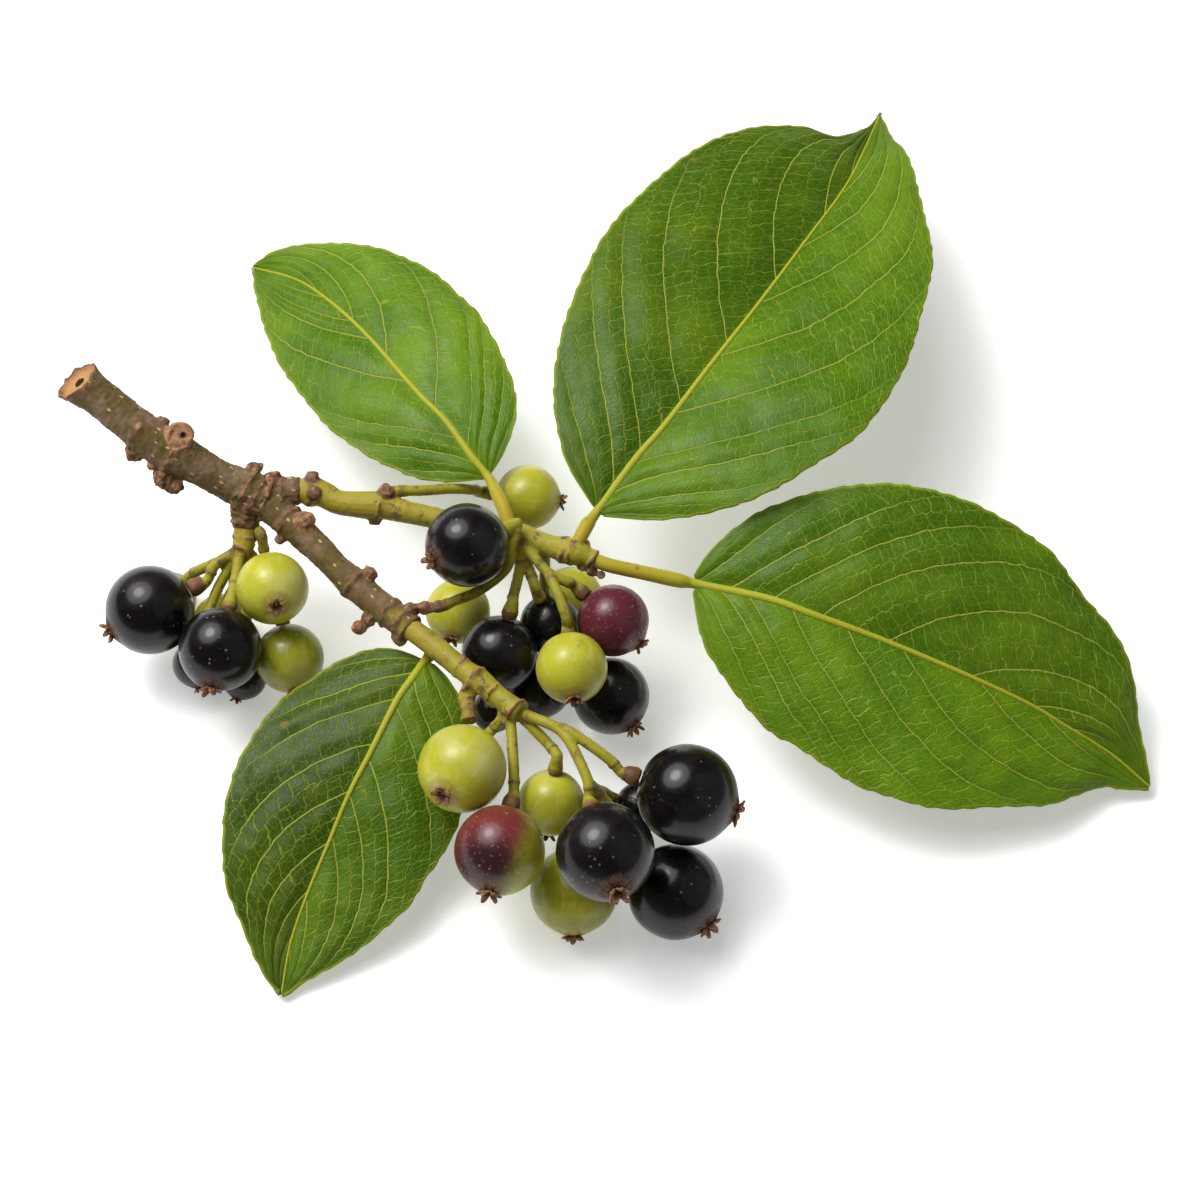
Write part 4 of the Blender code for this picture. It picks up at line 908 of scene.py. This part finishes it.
def run_samples(runs):
    """Closely spaced places along every run, with what the skin there needs to know."""
    samples = []
    for number, run in enumerate(runs):
        length = length_of(run.points)
        count = max(6, round(length / 0.3))
        rows = spline(run.points, count)
        side = None
        for at, row in enumerate(rows):
            ahead = (rows[min(at + 1, count)].to_3d() - rows[max(at - 1, 0)].to_3d()).normalized()
            side = (side or ahead.orthogonal()).cross(ahead).cross(ahead) * -1.0
            side.normalize()
            share = at / count
            bark = run.bark[0] + (run.bark[1] - run.bark[0]) * share
            along = share * length
            cup = ease(along, length - run.cup, length - 0.4 * run.cup) if run.cup else 0.0
            joint = 0.0
            if run.cup:
                joint = max(0.8 * math.exp(-((along - 0.8) / 0.55) ** 2),
                            math.exp(-((along - length + 3.05) / 0.26) ** 2))
            samples.append(Sample(row.to_3d(), row[3], ahead, side, along, number, bark, cup, joint))
    return samples


def knob_marks(co, knobs):
    """How much of a scar a place by the knobs is, how craggy it is there, and how tan."""
    scar = crag = tan = 0.0
    for x, y, z, size, craggy in knobs:
        near = (co - Vector((x, y, z))).length / size
        if near < 1.7:
            here = 1.0 - ease(near, 1.02, 1.40)
            scar, crag = max(scar, here), max(crag, here * craggy)
            tan = max(tan, here * (0.5 - craggy) * 0.7)
    return scar, crag, tan


def ring_marks(co, rings, scar, crag):
    """How far the rings raise a place, with the scar and the crag that they bring it to."""
    move = 0.0
    for ring in rings:
        away = co - ring.centre
        if away.length < ring.span:
            wobble = noise.noise(away * 0.8 + ring.centre)
            lift = (away.dot(ring.way) + wobble * 0.35) / (ring.half * (1.0 + 0.5 * wobble))
            strength = math.exp(-lift * lift)
            broken = 0.75 + 1.1 * noise.noise(away * 1.1 - ring.centre)
            move += ring.height * strength * broken
            scar = max(scar, strength * min(1.0, broken))
            crag = max(crag, strength * 0.6)
    return move, scar, crag


def cut_marks(co, normal, cut, move, scar):
    """Level the cut face, sink its pith and roughen its rim; return the cut wood and the pith too."""
    in_cut = in_pith = 0.0
    off = co - cut.place
    if off.length < 4.0 and normal.dot(cut.way) > 0.3:
        flat = off - cut.way * off.dot(cut.way)
        out = flat.length / cut.radius
        oval = math.hypot(flat.dot(cut.pith) / 0.60, flat.dot(cut.pith.cross(cut.way)) / 0.95)
        facing = ease(normal.dot(cut.way), 0.3, 0.75)
        in_cut = facing * (1.0 - ease(out + 0.16 * noise.noise(co * 1.3), 0.60, 0.98))
        in_pith = facing * (1.0 - ease(oval + 0.15 * noise.noise(co * 2), 0.65, 1.35))
        move = move * (1 - in_cut) - 0.22 * in_cut - 0.40 * ease(in_pith, 0.4, 1.0)
        scar = max(scar, facing * (1 - in_cut))
        move += (0.12 + 0.3 * noise.noise(co * 1.7)) * facing * (1 - in_cut)
    elif off.length < 3.6:
        scar = max(scar, 1.0 - ease(abs(off.dot(cut.way)), 0.25, 0.75))
    return move, scar, in_cut, in_pith


def work_wood(made, runs, knobs, rings, cut):
    """Raise rings, wrinkles and scars on the skin, and mark them for the finish, with the rise that paints
    light on the raised relief and shade in its hollows.
    """
    samples = run_samples(runs)
    tree = kdtree.KDTree(len(samples))
    for index, sample in enumerate(samples):
        tree.insert(sample.spot, index)
    tree.balance()
    rings = [Ring(Vector(centre), Vector(way).normalized(), *sizes) for centre, way, *sizes in rings]
    mesh = made.data
    marks = {name: [] for name in WOOD_MARKS}
    grains, places = [], []
    for vert in mesh.vertices:
        co, normal = vert.co.copy(), vert.normal.copy()
        found = min(tree.find_n(co, 3), key=lambda near: near[2] - samples[near[1]].radius)
        at = samples[found[1]]
        off = co - at.spot
        up = at.ahead.cross(at.side)
        grain = Vector((at.along + off.dot(at.ahead) + at.run * 37.0, off.dot(at.side), off.dot(up)))
        scar, crag, tan = knob_marks(co, knobs)
        move, scar, crag = ring_marks(co, rings, scar, crag)
        rough = noise.noise(grain * 0.8) * 0.06 + noise.noise(co * 2.2) * 0.05
        wrinkle = noise.noise(Vector((grain.x * 3.2, grain.y * 0.7, grain.z * 0.7)))
        craggy = noise.noise(co * 2.4) + 0.6 * noise.noise(co * 6.0)
        move += rough * (0.4 + at.bark) + wrinkle * 0.045 * at.bark + craggy * 0.10 * crag
        move += wrinkle * 0.12 * crag * at.bark + at.joint * (0.07 + 0.10 * noise.noise(co * 2.5))
        # painted light and shade: raised craggy, wrinkled relief gives a high mark that is painted lighter,
        # sunk relief a low one that is painted darker; smooth knobs add their own tan
        painted_light_and_shade = (craggy * 0.7 + wrinkle * 0.5) * (0.35 + 0.65 * min(1.0, crag)) + tan * 2.0
        if at.cup:
            move += 0.05 * noise.noise(co * 5.0) * at.cup
        in_cut = in_pith = 0.0
        if cut:
            move, scar, in_cut, in_pith = cut_marks(co, normal, cut, move, scar)
        place, rise = co + normal * move, 0.5 + painted_light_and_shade * 0.5
        if cut:
            place, rise = shape_scar(place, rise)
        places.append(place)
        grains.extend(grain)
        for name, value in zip(WOOD_MARKS, (at.bark, scar, at.cup, at.joint, in_cut, in_pith, rise)):
            marks[name].append(value)
    for vert, place in zip(mesh.vertices, places):
        vert.co = place
    for name, values in marks.items():
        mark(mesh, name, values)
    mark(mesh, "grain", grains, "FLOAT_VECTOR")


def shape_scar(co, rise):
    """Flatten the big leaf scar's face, raise its rim and sink its pit; return the place and its rise, the
    mark that paints the face with light on its bumps and shade in its pit and cracks.
    """
    centre, way, radius = LEAF_SCAR
    off = co - centre
    height = off.dot(way)
    lateral = (off - way * height).length
    if height < 0.1 or lateral > radius:
        return co, rise
    rough = noise.noise(co * 2.2) * 0.07 + noise.noise(co * 5.0) * 0.03
    rim = math.exp(-((lateral - 1.12) / 0.20) ** 2)
    from_pit = (off - Vector((0.30, 0.05, 0))).length_squared - height * height
    pit = min(1.0, math.exp(-from_pit / 0.035))
    crack = math.exp(-(noise.noise(co * 1.4) / 0.05) ** 2)
    want = 1.04 + (0.10 + 0.25 * noise.noise(co * 0.9)) * rim - 0.40 * pit - 0.05 * crack + rough
    share = 1.0 - ease(lateral, 1.20, radius)
    # painted light and shade: the face is lighter where its bumps stand up and darker in its sunk pit and
    # cracks; the raised rim is a little darker in its own colour
    tan = 0.76 + rough * 2.4 - 0.12 * rim - 0.55 * pit - 0.22 * crack
    return co + way * (want - height) * share, rise + (tan - rise) * share


def stalk_runs(stalks, settings):
    """The runs of a group of stalks, each ending in the swollen cup under its berry."""
    runs = []
    thin = settings.stalk_radius
    for name, via in stalks.items():
        berry = BERRIES[name]
        away = Vector(berry.stalk or [-part for part in berry.calyx]).normalized()
        centre = Vector(berry.centre)
        cup = CUPS.get(name, 0.9)
        big = settings.cup_radius * min(1.0, 0.62 + berry.radius * 0.08) * min(1.0, 0.74 + 0.16 * cup)
        points = [(*spot, thin) for spot in via]
        for gap, radius in ((1.95, thin), (1.25, big * 0.84), (0.55, big), (-0.05, big * 0.86)):
            points.append((*(centre + away * (berry.radius + gap)), radius))
        runs.append(Run(tuple(points), (0.05, 0.0), cup))
    return runs


def calyx_star(settings, seed):
    """Model the dry calyx: a ring drawn out into five or six curled lobes, with thickness."""
    draw = random.Random(seed)
    lobes = 5 + (draw.random() > 0.75)
    reach = [settings.star_reach * draw.uniform(0.78, 1.12) for _ in range(lobes)]
    curl = [draw.uniform(0.12, 0.27) for _ in range(lobes)]
    lean = [draw.uniform(-0.16, 0.16) for _ in range(lobes)]
    deselect()
    bpy.ops.mesh.primitive_circle_add(vertices=lobes * LOBE_STEPS, radius=STAR_HOLE, fill_type="NOTHING")
    made = bpy.context.object
    bpy.ops.object.mode_set(mode="EDIT")
    bpy.ops.mesh.select_all(action="SELECT")
    for row in range(STAR_ROWS):
        bpy.ops.mesh.extrude_region_move()
        grow = (STAR_HOLE + 0.1 * (row + 1)) / (STAR_HOLE + 0.1 * row)
        bpy.ops.transform.resize(value=(grow, grow, 1.0))
    bpy.ops.object.mode_set(mode="OBJECT")
    inner = 0.055
    for vert in made.data.vertices:
        out = math.hypot(vert.co.x, vert.co.y)
        turn = math.atan2(vert.co.y, vert.co.x)
        share = max(0.0, (out - STAR_HOLE) / (0.1 * STAR_ROWS))
        phase = (turn / (2 * math.pi) * lobes) % lobes
        lobe = int(phase + 0.5) % lobes
        blade = max(0.0, math.cos(math.pi * (phase - round(phase)))) ** 1.15
        far = inner + 0.06 + (reach[lobe] - inner - 0.06) * blade
        distance = inner + (far - inner) * share
        twist = turn + lean[lobe] * share * blade
        rise = 0.985 + 0.06 * math.sin(math.pi * min(1.0, share * 1.1)) * blade
        rise += curl[lobe] * (share ** 1.6) * blade - distance * distance * 0.42
        rise += 0.022 * noise.noise(Vector((distance * 18, turn * 3, seed)))
        rise -= 0.06 * (1 - share) ** 3
        vert.co = (distance * math.cos(twist), distance * math.sin(twist), rise)
    apply_modifier(made, "SOLIDIFY", thickness=0.042, offset=0.0)
    return made


def berry_ball(settings):
    """Model the ball that every berry is copied from, dimpled at the calyx and the stalk."""
    deselect()
    bpy.ops.mesh.primitive_uv_sphere_add(segments=settings.segments, ring_count=settings.segments * 3 // 4,
                                         radius=1.0, location=(0, 0, 0))
    made = bpy.context.object
    for vert in made.data.vertices:
        x, y, z = vert.co
        away = math.acos(max(-1.0, min(1.0, z)))
        turn = math.atan2(y, x)
        dent = 0.075 * math.exp(-(away / 0.10) ** 2)
        ridge = 0.030 * math.exp(-((away - 0.15) / 0.13) ** 2) * (1 + 0.25 * math.sin(turn * 11))
        under = 0.05 * math.exp(-((math.pi - away) / 0.22) ** 2)
        vert.co *= 1.0 - dent + ridge - under
    made.data.shade_smooth()
    return made


def make_berry(name, berry, ball, finishes, settings, seed):
    """Copy the ball, make it this berry's own, and set its star on."""
    made = bpy.data.objects.new(name, ball.data.copy())
    bpy.context.scene.collection.objects.link(made)
    star = calyx_star(settings, seed)
    for mesh in (made.data, star.data):
        clear_uvs(mesh)
        for finish in finishes:
            mesh.materials.append(finish)
    for face in star.data.polygons:
        face.material_index = 1
        face.use_smooth = True
    for vert in made.data.vertices:
        lump = noise.noise(vert.co * 1.3 + Vector((seed * 3.1, 0, 0)))
        vert.co *= 1.0 + settings.lumps * lump
    made = join([made, star], name)
    mesh = made.data
    mark(mesh, "unit", [part for vert in mesh.vertices for part in vert.co], "FLOAT_VECTOR")
    turned = Vector((0, 0, 1)).rotation_difference(Vector(berry.calyx)).to_matrix().to_4x4()
    mesh.transform(Matrix.Translation(berry.centre) @ turned @ Matrix.Scale(berry.radius, 4)
                   @ Matrix.Rotation(seed * 2.4, 4, "Z"))
    for vert in mesh.vertices:
        vert.co.z = max(vert.co.z, 0.0)
    return made


def vein_start(u, v):
    """Where on the midrib the side vein through a place on the blade leaves it."""
    u = abs(u)
    return (v - 0.15 * u - 0.20 * u * u) / (1.0 + 0.40 * u)


def vein_count(start, veins):
    """Number of the vein that leaves the midrib at start, with the share to the next one."""
    knots = (2 * veins[0] - veins[1] - 0.03, *veins, 2 * veins[-1] - veins[-2] + 0.03)
    if start <= knots[0]:
        return (start - knots[0]) / (knots[1] - knots[0])
    for number, (here, there) in enumerate(zip(knots, knots[1:])):
        if start < there:
            return number + (start - here) / (there - here)
    return len(knots) - 1 + (start - knots[-1]) / (knots[-1] - knots[-2])


def lay_blade(mesh, flats, leaf, settings, fine, seed):
    """Lay a flat grid on the leaf's rails, with teeth, waves and a slight bulge; return its half widths."""
    midrib, left, right = (spline(rail, fine) for rail in (leaf.midrib, leaf.left, leaf.right))
    margins = running_lengths(left), running_lengths(right)
    wides = []
    for vert, (u, v) in zip(mesh.vertices, flats):
        at = min(fine, round(v * fine))
        centre = midrib[at]
        rail, margin = (left, margins[0]) if u < 0 else (right, margins[1])
        across = rail[at] - centre
        wide = max(across.length, 0.06)
        phase = (margin[at] / settings.pitch + 0.15 * math.sin(at * 0.31)) % 1.0
        tooth = (ease(phase, 0.0, 0.72) - ease(phase, 0.74, 1.0)) * settings.tooth
        tooth *= ease(v, 0.03, 0.10) * (1 - ease(v, 0.985, 1.0))
        wave = 0.35 * noise.noise(Vector((u * 2.0, v * 9.0, seed))) * abs(u) ** 2
        edge = centre + across.normalized() * (wide + tooth * 0.9) + Vector((0, 0, wave * ease(v, 0.03, 0.2)))
        before, after = midrib[max(at - 2, 0)], midrib[min(at + 2, fine)]
        up = (after - before).cross(left[at] - right[at]).normalized()
        if up.z < 0:
            up.negate()
        vert.co = centre.lerp(edge, abs(u)) + up * (0.05 * wide * math.sin(math.pi * abs(u)))
        wides.append(wide)
    return wides


def number_veins(flats, wides, leaf, length):
    """Number of the side vein at each vertex, and how far apart the veins are there."""
    counts, gaps = [], []
    for (u, v), wide in zip(flats, wides):
        veins = leaf.veins_left if u < 0 else leaf.veins_right
        here = vein_count(vein_start(u, v), veins)
        there = vein_count(vein_start(u, v + 0.01), veins)
        spacing = 0.01 * length / max(0.01, there - here)
        slope = (0.15 + 0.40 * max(0, vein_start(u, v)) + 0.40 * abs(u)) * length / max(wide, 2.0)
        gaps.append(spacing / math.hypot(1.0, slope))
        counts.append(here)
    return counts, gaps


def quilt(mesh, flats, wides, edges, counts, settings):
    """Swell the blade between its side veins, and sink it along the midrib."""
    mesh.update()
    if sum(face.normal.z for face in mesh.polygons) < 0:
        mesh.flip_normals()
    normals = [vert.normal.copy() for vert in mesh.vertices]
    for vert, normal, (u, v), wide, edge, count in zip(mesh.vertices, normals, flats, wides, edges, counts):
        fraction = abs(count % 1.0 - round(count % 1.0)) * 2
        swell = ease(fraction, 0.0, 0.75) - 0.5
        fade = ease(abs(u), 0.02, 0.22) * ease(edge, 0.0, 2.4)
        drift = noise.noise(vert.co * 0.22) * 0.30 + noise.noise(vert.co * 0.8) * 0.10
        groove = -0.16 * (1 - ease(abs(u) * wide, 0.3, 1.6)) * (1 - 0.6 * v)
        vert.co += normal * (settings.quilting * swell * fade + drift * fade + groove + 0.10)


def map_veins(mesh, flats, wides, leaf, length):
    """Lay the veins map: the vein's number across, and the distance along the vein."""
    layer = mesh.uv_layers.new(name="veins")
    for face in mesh.polygons:
        leftward = sum(flats[index][0] for index in face.vertices) < 0
        veins = leaf.veins_left if leftward else leaf.veins_right
        for corner in face.loop_indices:
            index = mesh.loops[corner].vertex_index
            u, v = flats[index]
            root = vein_start(u, v)
            slope = (0.15 + 0.40 * max(0.0, root) + 0.20 * abs(u)) * length / max(wides[index], 2.0)
            run = abs(u) * wides[index] * math.hypot(1.0, slope) + 0.72 * root * length
            layer.data[corner].uv = (vein_count(root, veins) + (LEFT_HALF if leftward else 0.0), run)


def make_leaf(name, leaf, settings, finishes):
    """Model a blade from a grid laid on its rails, then its veins, thickness, midrib and stalk."""
    length = length_of(leaf.midrib)
    rows = round(length / ROW_STEP)
    deselect()
    bpy.ops.mesh.primitive_grid_add(x_subdivisions=BLADE_COLUMNS, y_subdivisions=rows, size=2.0)
    blade = pick(bpy.context.object)
    mesh = blade.data
    clear_uvs(mesh)
    flats = [(vert.co.x, (vert.co.y + 1) / 2) for vert in mesh.vertices]
    reaches = [abs(u) for u, _ in flats]
    wides = lay_blade(mesh, flats, leaf, settings, rows * 2, len(name) + 0.5)
    edges = [(1 - reach) * wide for reach, wide in zip(reaches, wides)]
    counts, gaps = number_veins(flats, wides, leaf, length)
    quilt(mesh, flats, wides, edges, counts, settings)
    map_veins(mesh, flats, wides, leaf, length)
    for key, numbers in (("edge", edges), ("gap", gaps), ("reach", reaches)):
        mark(mesh, key, numbers)
    mesh.shade_smooth()
    for finish in finishes:
        mesh.materials.append(finish)
    apply_modifier(blade, "SOLIDIFY", thickness=settings.thickness / MM, offset=-1.0, material_offset=1,
                   material_offset_rim=0)
    return join([blade, make_rib(leaf, finishes)], name)


def make_rib(leaf, finishes):
    """Model the leaf's stalk and its tapering midrib as one tube."""
    points = [(*(Vector(spot) - Vector((0, 0, 0.20))), 0.72) for spot in leaf.petiole]
    for index, spot in enumerate(leaf.midrib):
        share = index / (len(leaf.midrib) - 1)
        radius = 0.40 * (1 - share) ** 1.35 + 0.10
        points.append((spot[0], spot[1], spot[2] + 0.10 - radius * 0.66, radius))
    rib = add_tube(points, 0.4, 4)
    dress_rib(rib, points, len(leaf.petiole))
    for finish in finishes:
        rib.data.materials.append(finish)
    for face in rib.data.polygons:
        face.material_index = 2
        face.use_smooth = True
    return rib


def dress_rib(rib, points, petiole_points):
    """Mark a midrib's grain and how near it is to the shoot."""
    mesh = rib.data
    clear_uvs(mesh)
    start = Vector(points[0][:3])
    reach = length_of(points[:petiole_points + 1]) + 1.0
    barks, grains = [], []
    for vert in mesh.vertices:
        away = (vert.co - start).length
        barks.append(1.0 - ease(away, reach * 0.35, reach * 1.2))
        grains.extend((away, vert.co.y * 0.7 + vert.co.x * 0.7, vert.co.z))
    mark(mesh, "bark", barks)
    mark(mesh, "grain", grains, "FLOAT_VECTOR")


class SPRIG_OT_twig(bpy.types.Operator):
    """Build the woody twig with its branch, buds, scars and cut end"""
    bl_idname = "sprig.twig"
    bl_label = "Twig"

    def execute(self, context):
        stem = context.scene.sprig_stem
        runs = [Run(MAIN_STEM, (1.0, 1.0)), Run(LOWER_BRANCH, (0.90, 0.55)),
                Run(LEFT_COLLAR, (1.0, 0.8)), Run(SHOOT_COLLAR, (1.0, 0.7))]
        made = grown("twig_bark", runs, BARK_KNOBS, stem, TWIG_RINGS, TWIG_CUT)
        made.data.materials.append(wood_finish(stem, "bark"))
        put_in_place(made, "twig", slot="bark")
        return {"FINISHED"}


class SPRIG_OT_shoots(bpy.types.Operator):
    """Build the green shoot, the branch's green tip, the left spur and every berry stalk"""
    bl_idname = "sprig.shoots"
    bl_label = "Shoots and stalks"

    def execute(self, context):
        stem = context.scene.sprig_stem
        finish = wood_finish(stem, "green_wood")
        groups = (
            ("side_shoot", [Run(SIDE_SHOOT, (0.12, 0.05)), Run(MIDDLE_SPUR, (0.2, 0.15))],
             SHOOT_KNOBS, SHOOT_STALKS, SHOOT_RINGS),
            ("branch_tip", [Run(GREEN_TIP, (0.12, 0.05)), Run(BARE_SPUR, (0.3, 0.5))],
             (), TIP_STALKS, TIP_RINGS),
            ("stalks_left", [Run(LEFT_SPUR, (0.25, 0.1))], (), LEFT_STALKS, LEFT_RINGS),
            ("stalk_left_green", [], (), LEFT_GREEN_STALK, ()),
            ("stalk_upper", [], UPPER_KNOBS, UPPER_STALK, ()),
        )
        for node, runs, knobs, stalks, rings in groups:
            made = grown(node + "_skin", runs + stalk_runs(stalks, stem), knobs, stem, rings)
            made.data.materials.append(finish)
            put_in_place(made, node, slot="green_stem")
        return {"FINISHED"}


class SPRIG_OT_leaves(bpy.types.Operator):
    """Build the four leaves with their stalks, midribs and veined blades"""
    bl_idname = "sprig.leaves"
    bl_label = "Leaves"

    def execute(self, context):
        blade = context.scene.sprig_leaf
        under, rib = leaf_under_finish(), midrib_finish()
        for name, leaf in LEAVES.items():
            finishes = (leaf_upper_finish(blade, leaf.tones), under, rib)
            made = make_leaf(name + "_blade", leaf, blade, finishes)
            put_in_place(made, name, slot="leaf")
        return {"FINISHED"}


class SPRIG_OT_fruit(bpy.types.Operator):
    """Build the berries with their skins and dry calyx stars"""
    bl_idname = "sprig.fruit"
    bl_label = "Berries"

    def execute(self, context):
        fruit = context.scene.sprig_fruit
        dark_star = calyx_finish(fruit, "calyx_dark", 2.2)
        light_star = calyx_finish(fruit, "calyx_light", 2.6)
        purple = turning_skin("berry_purple", "berry_middle_6", (0.120, 0.018, 0.030),
                              ((-0.2, -0.6, -0.8), 0.55, 0.95, (0.16, 0.11, 0.03)))
        turning = turning_skin("berry_turning", "berry_front_2", (0.31, 0.30, 0.018),
                               ((-0.80, 0.20, 0.45), -0.30, 0.28, tuple(fruit.wine)),
                               ((-0.25, 0.40, 0.88), 0.30, 1.00, (0.17, 0.028, 0.026)),
                               ((0.05, 0.98, 0.20), 0.62, 1.02, (0.19, 0.080, 0.018)),
                               ((-0.35, -0.62, 0.68), 0.52, 1.06, (0.028, 0.008, 0.013)))
        skins = {
            "black": (black_skin(fruit), light_star, "berry_black"),
            "green": (green_skin(fruit, "berry_green", 0.0), dark_star, "berry_green"),
            "fresh": (green_skin(fruit, "berry_fresh", 0.24), dark_star, "berry_green"),
            "olive": (green_skin(fruit, "berry_olive", 0.60), dark_star, "berry_green"),
            "purple": (purple, light_star, "berry_purple"),
            "turning": (turning, light_star, "berry_turning"),
        }
        ball = berry_ball(fruit)
        for seed, (name, berry) in enumerate(BERRIES.items()):
            skin, star, slot = skins[berry.skin]
            made = make_berry(name + "_fruit", berry, ball, (skin, star), fruit, seed)
            put_in_place(made, name, slot=slot)
        bpy.data.objects.remove(ball)
        return {"FINISHED"}


class SPRIG_OT_stage(bpy.types.Operator):
    """Lay the pale floor and set the soft lights and the camera"""
    bl_idname = "sprig.stage"
    bl_label = "Floor, lights and camera"

    def execute(self, context):
        stage = context.scene.sprig_stage
        deselect()
        bpy.ops.mesh.primitive_grid_add(x_subdivisions=8, y_subdivisions=8, size=6.0, location=(0, 0, 0))
        floor = bpy.context.object
        floor.name = "floor"
        paper = Finish("floor_paper", Roughness=0.9, Specular_IOR_Level=0.1,
                       Emission_Color=(1.0, 0.995, 0.985, 1.0), Emission_Strength=stage.glow)
        shade = paper.noise(paper.place(), 3.0, 2.0)
        floor.data.materials.append(paper.finish(paper.mix(shade, tinted(stage.floor, 0.99), stage.floor)))
        world = bpy.data.worlds.new("surround")
        world.use_nodes = True
        context.scene.world = world
        sky = world.node_tree.nodes["Background"]
        sky.inputs["Color"].default_value = (1.0, 1.0, 1.0, 1.0)
        sky.inputs["Strength"].default_value = stage.sky
        target = Vector((-0.0006, -0.0099, 0.010))
        add_light("key_light", target, Vector((-0.42, 0.34, 0.84)), 0.80, 0.88, stage.key * 0.74)
        add_light("key_core", target, Vector((-0.42, 0.32, 0.84)), 0.78, 0.32, stage.key * 0.35)
        add_light("side_light", target, Vector((0.75, -0.15, 0.65)), 0.95, 1.50, stage.key * 0.12)
        camera = bpy.data.objects.new("camera", bpy.data.cameras.new("camera"))
        context.scene.collection.objects.link(camera)
        away = Vector((0.0, -math.cos(stage.tilt), math.sin(stage.tilt))) * stage.distance
        camera.location = target + away
        camera.rotation_euler = (-away).to_track_quat("-Z", "Y").to_euler()
        camera.data.sensor_width = 36.0
        camera.data.lens = camera.data.sensor_width * stage.distance / VIEW_WIDTH
        camera.data.clip_start, camera.data.clip_end = 0.01, 20.0
        context.scene.camera = camera
        context.scene.view_settings.view_transform = "Standard"
        return {"FINISHED"}


def add_light(name, target, way, distance, size, power):
    """Add a round soft light that faces the sprig from a direction."""
    light = bpy.data.lights.new(name, "AREA")
    light.shape, light.size, light.energy = "DISK", size, power
    made = bpy.data.objects.new(name, light)
    bpy.context.scene.collection.objects.link(made)
    made.location = target + way.normalized() * distance
    made.rotation_euler = (-way).to_track_quat("-Z", "Y").to_euler()


class SPRIG_PT_panel(bpy.types.Panel):
    """Lists the sprig's settings and the steps that build it"""
    bl_idname = "SPRIG_PT_panel"
    bl_label = "Buckthorn Sprig"
    bl_space_type = "VIEW_3D"
    bl_region_type = "UI"
    bl_category = "Sprig"

    def draw(self, context):
        for group, kind in GROUPS.items():
            box = self.layout.box()
            for name in kind.__annotations__:
                box.prop(getattr(context.scene, group), name)
        for operator in OPERATORS:
            self.layout.operator(operator.bl_idname)


OPERATORS = (SPRIG_OT_twig, SPRIG_OT_shoots, SPRIG_OT_leaves, SPRIG_OT_fruit, SPRIG_OT_stage)
GROUPS = {"sprig_fruit": FruitSettings, "sprig_stem": StemSettings, "sprig_leaf": LeafSettings,
          "sprig_stage": StageSettings}


def register():
    for group in GROUPS.values():
        bpy.utils.register_class(group)
    for name, group in GROUPS.items():
        setattr(bpy.types.Scene, name, PointerProperty(type=group))
    for kind in (*OPERATORS, SPRIG_PT_panel):
        bpy.utils.register_class(kind)


def unregister():
    for kind in (SPRIG_PT_panel, *reversed(OPERATORS)):
        bpy.utils.unregister_class(kind)
    for name, group in GROUPS.items():
        delattr(bpy.types.Scene, name)
        bpy.utils.unregister_class(group)


def main():
    """Build every piece."""
    register()
    bpy.ops.sprig.twig()
    bpy.ops.sprig.shoots()
    bpy.ops.sprig.leaves()
    bpy.ops.sprig.fruit()
    bpy.ops.sprig.stage()


if __name__ == "__main__":
    main()
